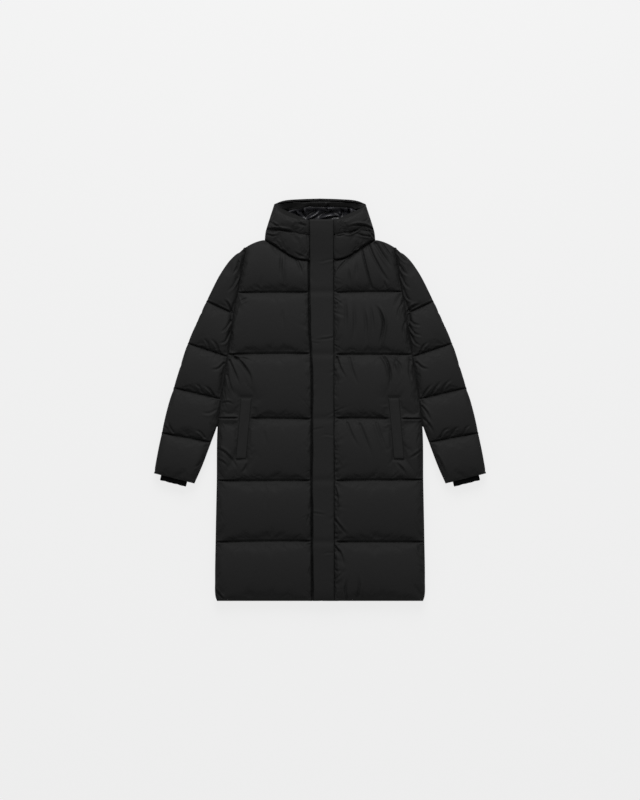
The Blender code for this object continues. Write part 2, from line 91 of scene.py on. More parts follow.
@dataclass(frozen=True)
class Curve:
    """A smooth line through a few places: cubics whose slope at a place is its two chords' mean."""

    places: tuple[float, ...]
    values: tuple[float, ...]

    def __call__(self, at: Array | float) -> Array:
        """Reads the curve.

        Args:
            at: where to read it; beyond its ends it keeps its end value.

        Returns:
            The curve's value at each of those places.
        """
        keys, values = np.array(self.places), np.array(self.values)
        chords = np.diff(values) / np.diff(keys)
        slopes = np.concatenate([chords[:1], (chords[1:] + chords[:-1]) / 2, chords[-1:]])
        at = np.clip(np.asarray(at, float), keys[0], keys[-1])
        i = np.clip(np.searchsorted(keys, at) - 1, 0, len(keys) - 2)
        width = keys[i + 1] - keys[i]
        t = (at - keys[i]) / width
        start = (1 + 2 * t) * (1 - t) ** 2 * values[i] + t * (1 - t) ** 2 * width * slopes[i]
        end = t * t * (3 - 2 * t) * values[i + 1] + t * t * (t - 1) * width * slopes[i + 1]
        return start + end


# Outlines of the coat: half widths by height, and edges by distance from the middle. The sleeve's
# outer and inner edges are places across by height, and heights by quilted rows up from the hem.
BODY_SIDE = Curve(
    (-0.603, -0.590, -0.540, -0.430, -0.250, -0.075, 0.011, 0.132, 0.256, 0.330, 0.400, 0.459),
    (0.309, 0.3135, 0.315, 0.3135, 0.310, 0.307, 0.2965, 0.277, 0.2595, 0.2455, 0.2335, 0.222),
)
NECKLINE = Curve(
    (0.000, 0.036, 0.060, 0.082, 0.108, 0.136, 0.158, 0.166, 0.181, 0.204, 0.222),
    (0.4185, 0.4190, 0.4220, 0.4295, 0.4450, 0.4630, 0.4755, 0.4795, 0.4775, 0.4690, 0.4590),
)
NECK_POINT = (0.166, 0.4795)
HOOD_SIDE = Curve((0.4795, 0.505, 0.532, 0.560, 0.588), (0.166, 0.163, 0.155, 0.146, MOUTH_HALF))
HOOD_QUILT = Curve((0.0, 0.036, 0.080, 0.118, 0.163), (0.4935, 0.4940, 0.5025, 0.5080, 0.5050))
LOWER_LIP = Curve(
    (0.0, 0.040, 0.060, 0.087, 0.110, 0.127, 0.137),
    (0.5380, 0.5385, 0.5405, 0.5465, 0.5575, 0.5700, 0.5880),
)
CROWN = Curve((0.0, 0.060, 0.112, 0.137), (0.6030, 0.6010, 0.5965, 0.5880))
LINING_TOP = Curve((0.0, 0.45, 0.60, 0.74, 0.86, 1.10), (1.42, 1.46, 1.38, 1.16, 0.95, 0.86))
LINING_SHIFT = 0.08
SLEEVE_OUTER = Curve(
    (-0.2200, -0.1400, -0.0440, 0.0520, 0.1480, 0.2440, 0.3160, 0.3880, 0.4330, 0.4555),
    (0.4985, 0.4840, 0.4630, 0.4350, 0.4050, 0.3660, 0.3310, 0.2930, 0.2580, 0.2290),
)
SLEEVE_INNER = Curve(
    (-0.2505, -0.2000, -0.1270, -0.0950, -0.0750),
    (0.3770, 0.3545, 0.3270, 0.3150, 0.3082),
)
SLEEVE_PLACES = (0.0, 1.0, 2.0, 3.0, 4.0, 4.65, 5.0)
SLEEVE_OUTER_Y = Curve(SLEEVE_PLACES, (-0.2200, -0.0985, 0.0365, 0.1700, 0.2965, 0.4090, 0.4568))
SLEEVE_INNER_Y = Curve(SLEEVE_PLACES, (-0.2505, -0.1270, 0.0030, 0.1300, 0.2590, 0.3720, 0.4580))
FLAP_PLACES = (-0.603, -0.580, -0.550, -0.250, 0.150, 0.195, 0.360, 0.419, 0.470, 0.510, 0.541)
FLAP_FREE = Curve(
    FLAP_PLACES,
    (0.0205, 0.0206, 0.0207, 0.0225, 0.0245, 0.028, 0.0305, 0.031, 0.0314, 0.0317, 0.032),
)
FLAP_SEWN = Curve(
    FLAP_PLACES,
    (0.0425, 0.0425, 0.0424, 0.0420, 0.0410, 0.0410, 0.0406, 0.0405, 0.0406, 0.0408, 0.0410),
)
FLAP_UNDER = Curve(
    FLAP_PLACES,
    (0.0310, 0.0370, 0.0400, 0.0400, 0.0400, 0.0400, 0.0400, 0.0430, 0.0520, 0.0590, 0.0610),
)
POCKET_INNER = Curve(WELT_ENDS, (0.2215, 0.2050))
POCKET_OUTER = Curve(WELT_ENDS, (0.2525, 0.2370))
HOOD_LIFT = Curve(HOOD_LEVELS, (0.0, 0.013, 0.026))


def swell(distance: Array | float, radius: float) -> Array:
    """The share of full loft at a distance from a stitch line: a quarter circle, then level.

    Args:
        distance: how far from the stitch line, in metres.
        radius: where the padding is at its full height.

    Returns:
        0 on the line, rising to 1.
    """
    reach = np.clip(np.asarray(distance) / radius, 0, 1)
    return np.sqrt(1 - (1 - reach) ** 2)


def ease(share: Array) -> Array:
    """A smooth step from 0 to 1 as share goes from 0 to 1, level at both ends."""
    share = np.clip(share, 0, 1)
    return share * share * (3 - 2 * share)


def slide(low: Array | float, high: Array | float, share: Array | float) -> Array:
    """The place a share of the way from low to high."""
    return low + (high - low) * share


def spread(count: int, gather: float = 0.5) -> Array:
    """Shares from 0 to 1 that lie closer together at both ends: s - gather sin(2 pi s) / 2 pi.

    Args:
        count: how many gaps there are between them.
        gather: 0 for even gaps, up to 1 for gaps that vanish at the ends.

    Returns:
        count + 1 shares.
    """
    s = np.linspace(0, 1, count + 1)
    return s - gather * np.sin(2 * math.pi * s) / (2 * math.pi)


def rows_of(rows: int, count: int, gather: float = 0.3) -> tuple[Array, Array]:
    """Grid lines across quilted rows, with the shared stitch lines named once.

    Args:
        rows: how many quilted rows there are.
        count: how many gaps each is divided into.
        gather: how much closer those gaps are by the stitch lines.

    Returns:
        The row that each grid line is in, and its share of the way up it.
    """
    shares = spread(count, gather)
    row = np.append(np.repeat(np.arange(rows), count), rows - 1)
    return row, np.append(np.tile(shares[:-1], rows), 1.0)


def quilted(
    share: Array, length: Array, close: float = 0.0066, sewn: float = 0.35, crown: float = 0.51
) -> Array:
    """The height across a quilted row, as a share of its loft.

    It is a quarter circle close to the stitches, plus a parabola from one stitch line to the other.

    Args:
        share: how far up the row each place is, from 0 to 1.
        length: how far apart the row's stitch lines are.
        close: how far from the stitches the quarter circle ends.
        sewn: the quarter circle's part of the loft.
        crown: the parabola's part of the loft.

    Returns:
        0 at the stitches, sewn + crown in the middle of the row.
    """
    away = np.minimum(share, 1 - share) * length
    return sewn * swell(away, close) + crown * 4 * share * (1 - share)


def settled(start: Array, moved: Array, limit: float) -> Array:
    """Eases how far each point has moved under a limit: limit tanh(distance / limit).

    Args:
        start: the points before the cloth solver.
        moved: the same points after it.
        limit: the furthest that one may move, in metres.

    Returns:
        The points, each in the direction it went.
    """
    step = moved - start
    far = np.maximum(np.linalg.norm(step, axis=-1, keepdims=True), 1e-9)
    return start + step * limit * np.tanh(far / limit) / far


def refined(points: Array, seams: Array, times: int = 3) -> Array:
    """A finer grid, by cubics along rows and columns that break at the stitch lines.

    Between b and c, with a before and d after, the point a share t of the way is
    b + t/2 (c - a + t (2a - 5b + 4c - d + t (3b - 3c + d - a))).

    Args:
        points: the grid, rows x columns x 3.
        seams: the numbers of the rows that are stitch lines, first and last rows included.
        times: how many gaps each gap becomes.

    Returns:
        The finer grid.
    """

    def finer(p: Array) -> Array:
        """The same grid with more lines along its first axis."""
        ends = np.concatenate([2 * p[:1] - p[1:2], p, 2 * p[-1:] - p[-2:-1]])[:, None]
        a, b, c, d = ends[:-3], ends[1:-2], ends[2:-1], ends[3:]
        t = (np.arange(times) / times)[None, :, None, None]
        made = b + t / 2 * (c - a + t * (2 * a - 5 * b + 4 * c - d + t * (3 * b - 3 * c + d - a)))
        return np.concatenate([made.reshape(-1, *p.shape[1:]), p[-1:]])

    pieces = [finer(points[a : b + 1])[:-1] for a, b in zip(seams[:-1], seams[1:])]
    lines = np.concatenate(pieces + [points[-1:]])
    return finer(lines.transpose(1, 0, 2)).transpose(1, 0, 2)


@dataclass(frozen=True)
class Fold:
    """A fold along a smooth path: a valley, exp(-d^2), with a rounded ridge along one side of it.

    path holds places on the cloth, seen from above. width and depth set the valley's size, with d
    the distance over 0.66 width and the valley 1.5 depth deep. ridge is the ridge's height as a
    share of that, on the left of the path if lean is 1 and on the right if it is -1. The fold fades
    out at both ends, or only at the last if from_seam is set.
    """

    path: tuple[Place, ...]
    width: float
    depth: float
    ridge: float
    lean: int
    from_seam: bool

    def relief(self, x: Array, y: Array) -> Array:
        """How far the fold moves the cloth outwards.

        Args:
            x: places on the cloth, from side to side.
            y: the same places, from hem to hood.

        Returns:
            A height for each place, below 0 in the valley.
        """
        steps, narrow, gain = 15, 0.66, 1.5
        ridge_at, ridge_width = 1.8, 1.15
        fade_out, fade_in = 0.55, 0.4
        t = tuple(np.linspace(0, 1, len(self.path)))
        s = np.linspace(0, 1, steps)
        across, up = (Curve(t, tuple(column))(s) for column in zip(*self.path))
        reach = 4 * self.width
        near = (x > across.min() - reach) & (x < across.max() + reach)
        near &= (y > up.min() - reach) & (y < up.max() + reach)
        height = np.zeros_like(x)
        if not near.any():
            return height
        line = np.stack([across, up], axis=-1)
        start, step = line[:-1], np.diff(line, axis=0)
        point = np.stack([x[near], y[near]], axis=-1)[:, None]
        share = np.clip(((point - start) * step).sum(-1) / (step**2).sum(-1), 0, 1)
        away = point - start - share[..., None] * step
        distance = np.linalg.norm(away, axis=-1)
        k = distance.argmin(axis=1)
        each = np.arange(len(k))
        off = away[each, k]
        left = np.sign(step[k, 0] * off[:, 1] - step[k, 1] * off[:, 0])
        along = (k + share[each, k]) / len(step)
        d = left * self.lean * distance[each, k] / (narrow * self.width)
        fade = ease((1 - along) / fade_out) * (1.0 if self.from_seam else ease(along / fade_in))
        ridge = self.ridge * np.exp(-(((d - ridge_at) / ridge_width) ** 2))
        height[near] = gain * self.depth * fade * (ridge - np.exp(-(d**2)))
        return height


@dataclass(frozen=True)
class Puckers:
    """The short folds that a line of stitching draws up, uneven in place, length, depth and lean.

    Fold i runs off the line at a slope s, so at a distance q from it the fold's valley is at
    a + s q along it. Its depth fades as (1 - q / length)^2 and its width grows with q.
    """

    seed: int
    spacing: float
    length: float
    depth: float
    slope: float = 0.35

    def relief(self, along: Array, off: Array) -> Array:
        """How far the puckers move the cloth outwards.

        Args:
            along: distance along the stitch line.
            off: distance from it, on either side.

        Returns:
            A height for each place.
        """
        rng = np.random.default_rng(self.seed)
        height = np.zeros_like(along)
        low, high = float(along.min()), float(along.max())
        for side in (-1, 1):
            near = (off * side >= 0) & (np.abs(off) < 1.6 * self.length)
            if not near.any():
                continue
            count = max(2, int((high - low) / self.spacing))
            place = np.linspace(low, high, count) + rng.uniform(-0.6, 0.6, count) * self.spacing
            length = self.length * rng.uniform(0.45, 1.6, count)
            depth = self.depth * rng.uniform(0.25, 1.6, count)
            depth *= rng.choice([1.0, 0.35], count, p=[0.6, 0.4])
            slope = self.slope * rng.normal(0, 1, count)
            width = self.spacing * rng.uniform(0.10, 0.26, count)
            q = np.abs(off[near])[:, None]
            fade = np.clip(1 - q / length, 0, 1) ** 2
            d = (along[near][:, None] - place - slope * q) / (width * (0.7 + 1.2 * q / length))
            valley = -np.exp(-(d**2)) + 0.45 * np.exp(-((np.abs(d) - 1.9) ** 2))
            height[near] += (depth * fade * valley).sum(axis=1)
        return height


# --- Cloth finishes ------------------------------------------------------------------------------


@dataclass(frozen=True)
class Finish:
    """A cloth's colour, sheen and weave, made as one procedural material.

    tone is its colour; mottle is how much that varies; crinkle is the depth of its fine creasing
    and grain its size; weave is the depth of its threads and thread their spacing, all in metres.
    uneven is how far the roughness strays either way.
    """

    cloth: Cloth
    tone: tuple[float, float, float]
    roughness: float
    specular: float
    sheen: float
    mottle: float
    crinkle: float
    grain: float
    weave: float
    thread: float
    uneven: float = 0.06

    def material(self) -> bpy.types.Material:
        """Builds the material.

        Returns:
            A Principled material whose colour, roughness and bump all vary.
        """
        made = bpy.data.materials.new(self.cloth.value + "_cloth")
        made.use_nodes = True
        tree = made.node_tree
        shader = tree.nodes["Principled BSDF"]
        shader.inputs["Specular IOR Level"].default_value = self.specular
        shader.inputs["Sheen Weight"].default_value = self.sheen
        shader.inputs["Sheen Roughness"].default_value = 0.5
        place = tree.nodes.new("ShaderNodeTexCoord").outputs["Object"]
        cloud = self._noise(tree, place, 5.0, 3.0)
        fine = self._noise(tree, place, 1.0 / self.grain, 4.0)
        mixed = self._mean(tree, cloud, fine)
        tint = tree.nodes.new("ShaderNodeMix")
        tint.data_type = "RGBA"
        tint.inputs["A"].default_value = (*(c * (1 - self.mottle) for c in self.tone), 1)
        tint.inputs["B"].default_value = (*(c * (1 + self.mottle) for c in self.tone), 1)
        tree.links.new(mixed, tint.inputs["Factor"])
        tree.links.new(tint.outputs["Result"], shader.inputs["Base Color"])
        rough = tree.nodes.new("ShaderNodeMapRange")
        rough.inputs["To Min"].default_value = self.roughness - self.uneven
        rough.inputs["To Max"].default_value = self.roughness + self.uneven
        tree.links.new(fine, rough.inputs["Value"])
        tree.links.new(rough.outputs["Result"], shader.inputs["Roughness"])
        creased = self._bump(tree, fine, self.crinkle, None)
        warp = self._wave(tree, place, "X")
        weft = self._wave(tree, place, "Y")
        woven = self._bump(tree, self._mean(tree, warp, weft), self.weave, creased)
        tree.links.new(woven, shader.inputs["Normal"])
        return made

    def _noise(self, tree: Tree, place: Socket, scale: float, detail: float) -> Socket:
        """A noise texture of one scale over the cloth."""
        node = tree.nodes.new("ShaderNodeTexNoise")
        node.inputs["Scale"].default_value = scale
        node.inputs["Detail"].default_value = detail
        tree.links.new(place, node.inputs["Vector"])
        return node.outputs["Fac"]

    def _wave(self, tree: Tree, place: Socket, axis: str) -> Socket:
        """Threads side by side along an axis: a sine, whose period is 2 pi / (20 scale)."""
        node = tree.nodes.new("ShaderNodeTexWave")
        node.bands_direction = axis
        node.inputs["Scale"].default_value = 2 * math.pi / (20 * self.thread)
        node.inputs["Distortion"].default_value = 0.6
        tree.links.new(place, node.inputs["Vector"])
        return node.outputs["Fac"]

    def _mean(self, tree: Tree, a: Socket, b: Socket) -> Socket:
        """Half of each of two values."""
        node = tree.nodes.new("ShaderNodeMix")
        node.inputs["Factor"].default_value = 0.5
        tree.links.new(a, node.inputs["A"])
        tree.links.new(b, node.inputs["B"])
        return node.outputs["Result"]

    def _bump(self, tree: Tree, height: Socket, depth: float, under: Socket | None) -> Socket:
        """A bump of one depth, on top of another bump if there is one."""
        node = tree.nodes.new("ShaderNodeBump")
        node.inputs["Strength"].default_value = 1.0
        node.inputs["Distance"].default_value = depth
        tree.links.new(height, node.inputs["Height"])
        if under is not None:
            tree.links.new(under, node.inputs["Normal"])
        return node.outputs["Normal"]


FINISHES = (
    Finish(
        Cloth.SHELL, (0.0075, 0.0075, 0.0075), roughness=0.70, specular=0.06, sheen=0.0, mottle=0.08,
        crinkle=0.0004, grain=0.012, weave=0.00005, thread=0.0007,
    ),
    Finish(
        Cloth.LINING, (0.012, 0.012, 0.014), roughness=0.40, specular=0.30, sheen=0.0, mottle=0.12,
        crinkle=0.0006, grain=0.014, weave=0.00003, thread=0.0005,
    ),
    Finish(
        Cloth.RIB, (0.0011, 0.0011, 0.0012), roughness=0.90, specular=0.03, sheen=0.0, mottle=0.15,
        crinkle=0.0003, grain=0.003, weave=0.0001, thread=0.0012,
    ),
    Finish(
        Cloth.TAPE, (0.006, 0.006, 0.0065), roughness=0.5, specular=0.3, sheen=0.0, mottle=0.10,
        crinkle=0.0002, grain=0.004, weave=0.0004, thread=0.0026,
    ),
)


# --- Making meshes -------------------------------------------------------------------------------


def squares(grid: Array) -> Array:
    """The four corners of each square of a grid of vertex numbers."""
    corners = [grid[:-1, :-1], grid[:-1, 1:], grid[1:, 1:], grid[1:, :-1]]
    return np.stack(corners, axis=-1).reshape(-1, 4)


def level_under(outer: Array, height: float) -> Array:
    """The first and last columns of a grid, laid level at one height."""
    inner = outer[:, [0, -1]].copy()
    inner[..., 2] = height
    return inner


def closed_wall(name: str, outer: Array, inner: Array) -> bpy.types.Object:
    """A closed wall of cloth between two grids with the same number of rows.

    Args:
        name: the piece's name.
        outer: the outer face, rows x columns x 3.
        inner: the inner face, rows x any columns x 3. Its edges lie by the outer face's edges.

    Returns:
        The object, at the origin, its faces outward, smooth but for its sharp edges.
    """
    a = np.arange(outer.shape[0] * outer.shape[1]).reshape(outer.shape[:2])
    b = a.size + np.arange(inner.shape[0] * inner.shape[1]).reshape(inner.shape[:2])
    left = np.stack([a[:-1, 0], a[1:, 0], b[1:, 0], b[:-1, 0]], axis=-1)
    right = np.stack([a[:-1, -1], b[:-1, -1], b[1:, -1], a[1:, -1]], axis=-1)
    faces = np.concatenate([squares(a), squares(b)[:, ::-1], left, right]).tolist()
    faces += [a[0][::-1].tolist() + b[0].tolist(), a[-1].tolist() + b[-1][::-1].tolist()]
    points = np.concatenate([outer.reshape(-1, 3), inner.reshape(-1, 3)])
    return made_object(name, points, faces)


def made_object(name: str, points: Array, faces: list[list[int]]) -> bpy.types.Object:
    """A smooth-shaded object from points and faces, with every face turned outward.

    Args:
        name: the piece's name.
        points: its vertices.
        faces: its faces, as numbers of vertices.

    Returns:
        The object, linked to the scene.
    """
    mesh = bpy.data.meshes.new(name)
    mesh.from_pydata(points.tolist(), [], faces)
    turned = bmesh.new()
    turned.from_mesh(mesh)
    bmesh.ops.recalc_face_normals(turned, faces=turned.faces)
    turned.to_mesh(mesh)
    turned.free()
    mesh.shade_smooth()
    mesh.set_sharp_from_angle(angle=math.radians(55))
    made = bpy.data.objects.new(name, mesh)
    bpy.context.scene.collection.objects.link(made)
    return made


def moved_off(points: Array, distance: Array | float) -> Array:
    """A grid moved off its surface along its normal, the cross product of its two directions."""
    normal = np.cross(np.gradient(points, axis=1), np.gradient(points, axis=0))
    normal /= np.maximum(np.linalg.norm(normal, axis=-1, keepdims=True), 1e-12)
    return points + normal * np.asarray(distance)[..., None]


@dataclass
class Wardrobe:
    """Keeps the materials, and dresses each finished piece."""

    materials: dict[Cloth, bpy.types.Material] = field(default_factory=dict)

    def __post_init__(self) -> None:
        """Makes one material for each finish."""
        self.materials = {finish.cloth: finish.material() for finish in FINISHES}

    def dress(self, piece: bpy.types.Object, node: str, cloth: Cloth) -> None:
        """Gives a piece its cloth, puts it on the coat and lets it stand for a node.

        Args:
            piece: the finished piece.
            node: the CAD node that it replaces.
            cloth: the cloth that it is made of.
        """
        piece.data.materials.append(self.materials[cloth])
        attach(piece, "root")
        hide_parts(node)
        log.info("%s: %d faces", piece.name, len(piece.data.polygons))


@dataclass
class Puffing:
    """Blows up every padded face at once with the cloth solver: pressure inside, stitches held."""

    frames: int = 16
    sheets: list[bpy.types.Object] = field(default_factory=list)

    def add(self, points: Array, held: Array, pressure: float, excess: float) -> int:
        """Adds one face to be blown up.

        Args:
            points: its grid, rows x columns x 3.
            held: True for each point that is stitched down.
            pressure: how hard it is filled.
            excess: how much longer the cloth is than the path it starts on, as a share.

        Returns:
            The number to ask for it by after the run.
        """
        a = np.arange(points.shape[0] * points.shape[1]).reshape(points.shape[:2])
        mesh = bpy.data.meshes.new("puffing")
        mesh.from_pydata(points.reshape(-1, 3).tolist(), [], squares(a).tolist())
        sheet = bpy.data.objects.new("puffing", mesh)
        bpy.context.scene.collection.objects.link(sheet)
        sheet.vertex_groups.new(name="held").add(a[held].tolist(), 1.0, "REPLACE")
        solver = sheet.modifiers.new("cloth", "CLOTH").settings
        solver.quality = 5
        solver.mass = 0.15
        solver.tension_stiffness = 12
        solver.compression_stiffness = 12
        solver.shear_stiffness = 3
        solver.bending_stiffness = 0.05
        solver.tension_damping = solver.compression_damping = solver.shear_damping = 6
        solver.vertex_group_mass = "held"
        solver.shrink_min = -excess
        solver.use_pressure = True
        solver.uniform_pressure_force = pressure
        solver.effector_weights.gravity = 0
        self.sheets.append(sheet)
        return len(self.sheets) - 1

    def run(self) -> list[Array]:
        """Steps the solver through its frames.

        Returns:
            The points of each face, in the order they were added.
        """
        scene = bpy.context.scene
        for frame_number in range(1, self.frames + 1):
            scene.frame_set(frame_number)
        graph = bpy.context.evaluated_depsgraph_get()
        found = []
        for sheet in self.sheets:
            vertices = sheet.evaluated_get(graph).data.vertices
            flat = np.empty(len(vertices) * 3)
            vertices.foreach_get("co", flat)
            found.append(flat.reshape(-1, 3))
            mesh = sheet.data
            bpy.data.objects.remove(sheet, do_unlink=True)
            bpy.data.meshes.remove(mesh)
        self.sheets.clear()
        scene.frame_set(1)
        return found


def sided(stem: str, side: int) -> str:
    """A node's name for one side of the coat: 1 is the wearer's left, -1 the right."""
    return stem + ("_left" if side > 0 else "_right")


@dataclass
class PaddedHalf:
    """A padded piece that the coat has on both sides, worked out on the wearer's left.

    stem begins its node's name; pressure and excess are how hard it is filled and how much longer
    its cloth is than the path it starts on; most_moved is the furthest that the solver may move a
    point, and taken the share of that kept along each axis; number is its place in the run.
    """

    side: int
    folds: tuple[Fold, ...]
    stem: str = ""
    row_count: int = 30
    pressure: float = 1.2
    excess: float = 0.012
    most_moved: float = 0.004
    taken: tuple[float, float, float] = (1.0, 1.0, 1.0)
    number: int = -1

    @property
    def name(self) -> str:
        """The node that this piece stands for."""
        return sided(self.stem, self.side)

    @property
    def flap(self) -> Curve:
        """The storm flap's edge on this side."""
        return FLAP_SEWN if self.side > 0 else FLAP_FREE

    @property
    def closure(self) -> float:
        """Where this side ends at the zip."""
        return CLOSURE * self.side + CLOSURE_HALF + SEAM_GAP

    def start(self) -> tuple[Array, ...]:
        """The face before it is blown up: its grid, its held points and what else build needs."""
        raise NotImplementedError

    def puff(self, puffing: Puffing) -> None:
        """Hands the face to the cloth solver."""
        points, held = self.start()[:2]
        self.number = puffing.add(points, held, self.pressure, self.excess)

    def blown_up(self, puffed: list[Array]) -> tuple[Array, Array]:
        """Takes the solver's result, eased under its limit, on a finer grid.

        Args:
            puffed: every face that the solver has blown up.

        Returns:
            The finer grid, and the numbers of the coarse rows that are stitch lines.
        """
        start = self.start()[0]
        moved = slide(start, puffed[self.number].reshape(start.shape), np.array(self.taken))
        seams = np.arange(0, len(start), self.row_count)
        return refined(settled(start, moved, self.most_moved), seams), seams


# --- The coat's body -----------------------------------------------------------------------------


def armhole_radius(y: Array) -> Array:
    """How far from the body's edge the padding is full: least beside the armhole's lower half.

    Args:
        y: heights up the coat.

    Returns:
        The radius at each, from EDGE_RADIUS down to ARMHOLE_RADIUS.
    """
    return slide(EDGE_RADIUS, ARMHOLE_RADIUS, np.exp(-(((y - 0.230) / 0.085) ** 2)))


def quilt_wobble(x: Array, row: Array, side: int) -> Array:
    """How far a body's stitch line strays from level: a slow sine, different for each line."""
    return 0.0016 * np.sin(9.0 * x + 2.1 * row + side) * (np.asarray(row) > 0)


@dataclass
class Front(PaddedHalf):
    """One front of the coat, from the closure to the side seam, the armhole and the neckline.

    u runs from the closure to the side, v up the quilted rows. The height over the flat inside is
    the seam's wall, plus the loft times the row's swell and the swell inward from the side.
    """

    stem: str = "front"
    under_count: int = 5
    out_count: int = 52
    by_flap_least: float = 0.42
    pocket_fade: float = 0.012
    slack_rise: float = 0.0072
    groove: float = 0.0095

    def plan(self) -> tuple[Array, Array, Array]:
        """Where the grid's points are, seen from above, on the wearer's left.

        Returns:
            Distance from the middle, height up the coat, and the swell of each quilted row.
        """
        row, share = rows_of(len(BODY_QUILTS), self.row_count)
        row, share = row[:, None], share[:, None]
        under = np.linspace(0, 1, self.under_count + 1)[:-1]
        out = spread(self.out_count, 0.45)
        levels = np.array(BODY_QUILTS)
        last = row == len(levels) - 1
        low = levels[row]
        top = np.append(levels[1:], SHOULDER_TIP)[row] + np.zeros(len(under) + len(out))
        for _ in range(4):
            # The last row ends on the neckline and shoulder, whose height depends on x, and x on
            # height, so both are worked out again until they agree.
            y = slide(low, top, share)
            edge = self.flap(y)
            covered = slide(self.closure, edge[:, : len(under)], under)
            shown = slide(edge[:, len(under) :], BODY_SIDE(y[:, len(under) :]), out)
            x = np.concatenate([covered, shown], axis=1)
            top = np.where(last, NECKLINE(x[-1]) - SEAM_GAP / 2, top)
        below, above = (quilt_wobble(x, row + step, self.side) for step in (0, 1))
        strayed = np.where(last, below * (1 - share), slide(below, above, share))
        return x, y + strayed, quilted(share, top - low)

    def pocket(self, x: Array, y: Array) -> Array:
        """How much a place belongs to the pocket's seat: 1 under the welt, fading to 0 round it."""
        beyond_side = np.maximum(POCKET_INNER(y) - x, x - POCKET_OUTER(y))
        beyond_end = np.maximum(WELT_ENDS[0] - y, y - WELT_ENDS[1])
        return 1 - ease(np.maximum(beyond_side, beyond_end) / self.pocket_fade)

    def start(self) -> tuple[Array, Array]:
        """The face before it is blown up.

        Returns:
            Its grid, and True for each point that the stitching, flap or pocket holds.
        """
        x, y, rise = self.plan()
        beside = x - self.flap(y)
        rise = np.maximum(rise, self.by_flap_least * (1 - ease(beside / 0.016)))
        hold, reach = (0.55, 0.020) if self.side > 0 else (0.62, 0.013)
        by_flap = np.where(beside > 0, slide(hold, 1.0, swell(beside, reach)), hold)
        loft = LOFT * rise * by_flap * swell(BODY_SIDE(y) - x, armhole_radius(y))
        z = FRONT_FLOOR + SEAM_WALL + loft
        under = beside < 1e-6
        z = np.where(under, np.minimum(z, FLAP_UNDER(y) - SEAM_GAP), z)
        z[:, 0] = FRONT_FLOOR + SEAM_WALL
        # Outside the pocket, the stitches that meet it are slack.
        slack = np.exp(-(((y - BODY_QUILTS[3]) / 0.010) ** 2)) * ease((x - POCKET_INNER(y)) / 0.008)
        z = z + self.slack_rise * slack * swell(BODY_SIDE(y) - x, EDGE_RADIUS)
        seat = self.pocket(x, y)
        z = slide(z, WELT_SEAT - SEAM_GAP, seat)
        held = under | (seat > 0.98)
        held[:: self.row_count] = True
        held[:, -1] = True
        return np.stack([x, y, z], axis=-1), held

    def build(self, puffed: list[Array], wardrobe: Wardrobe) -> None:
        """Finishes the front.

        Args:
            puffed: every face that the solver has blown up.
            wardrobe: dresses it.
        """
        x, y, z = np.moveaxis(self.blown_up(puffed)[0], -1, 0)
        relief = np.zeros_like(x)
        for number, level in enumerate(BODY_QUILTS):
            seed = 11 * number + self.side + 3
            relief += Puckers(seed, 0.017, 0.022, 0.0012).relief(x, y - level)
        beside = x - self.flap(y)
        deep = 0.0024 if self.side > 0 else 0.0008
        relief += Puckers(70 + self.side, 0.024, 0.044, deep, 0.6).relief(y, np.maximum(beside, 0))
        relief += Puckers(90 + self.side, 0.030, 0.030, 0.0012, 0.5).relief(y, BODY_SIDE(y) - x)
        relief = np.where(beside > 0, relief, 0)
        for fold in self.folds:
            relief += fold.relief(x * self.side, y)
        hold = ease((z - FRONT_FLOOR - SEAM_WALL) / 0.008) * ease(beside / 0.006)
        z = z + relief * hold * (1 - self.pocket(x, y))
        if self.side < 0:
            # Beside the flap's free edge the cloth dips away under it.
            groove = self.groove * np.exp(-(((beside - 0.0022) / 0.0030) ** 2))
            z = z - np.where(beside > -0.001, groove * ease((z - FRONT_FLOOR) / 0.012), 0)
        z = np.where(beside < 1e-5, np.minimum(z, FLAP_UNDER(y) - SEAM_GAP), z)
        x = np.minimum(x, BODY_SIDE(y) + 0.0014 * ease((z - FRONT_FLOOR - SEAM_WALL) / 0.003))
        x = np.maximum(x, self.closure)
        outer = np.stack([x * self.side, y, np.maximum(z, FRONT_FLOOR + 0.002)], axis=-1)
        piece = closed_wall("panel_" + self.name, outer, level_under(outer, FRONT_FLOOR))
        wardrobe.dress(piece, self.name, Cloth.SHELL)


@dataclass
class Back:
    """The back of the coat, from side seam to side seam, pressed flat on the surface."""

    row_count: int = 22
    half_count: int = 34

    def build(self, wardrobe: Wardrobe) -> None:
        """Makes the back. The depth below its flat inside is the wall plus the loft, as on a front.

        Args:
            wardrobe: dresses it.
        """
        row, share = rows_of(len(BODY_QUILTS), self.row_count)
        across = spread(2 * self.half_count, 0.35) * 2 - 1
        levels = np.array(BODY_QUILTS)
        low = levels[row][:, None]
        last = row[:, None] == len(levels) - 1
        top = np.append(levels[1:], NECK_POINT[1])[row][:, None] + 0 * across
        for _ in range(4):
            y = slide(low, top, share[:, None])
            x = BODY_SIDE(y) * across
            edge = np.where(np.abs(x[-1]) < NECK_POINT[0], NECK_POINT[1], NECKLINE(np.abs(x[-1])))
            top = np.where(last, edge, top)
        away = np.minimum(share, 1 - share)[:, None] * (top - low)
        full = swell(away, ROW_RADIUS) * swell(BODY_SIDE(y) - np.abs(x), EDGE_RADIUS)
        z = BACK_CEILING - SEAM_WALL - (BACK_CEILING - SEAM_WALL) * full
        relief = np.zeros_like(x)
        for number, level in enumerate(BODY_QUILTS):
            relief += Puckers(31 * number + 5, 0.026, 0.030, 0.0016).relief(x, y - level)
        hold = ease((BACK_CEILING - SEAM_WALL - z) / 0.008) * ease(z / 0.004)
        z = np.maximum(z - relief * hold, 0.0)
        outer = np.stack([x, y, z], axis=-1)
        piece = closed_wall("panel_back", outer, level_under(outer, BACK_CEILING))
        wardrobe.dress(piece, "back", Cloth.SHELL)


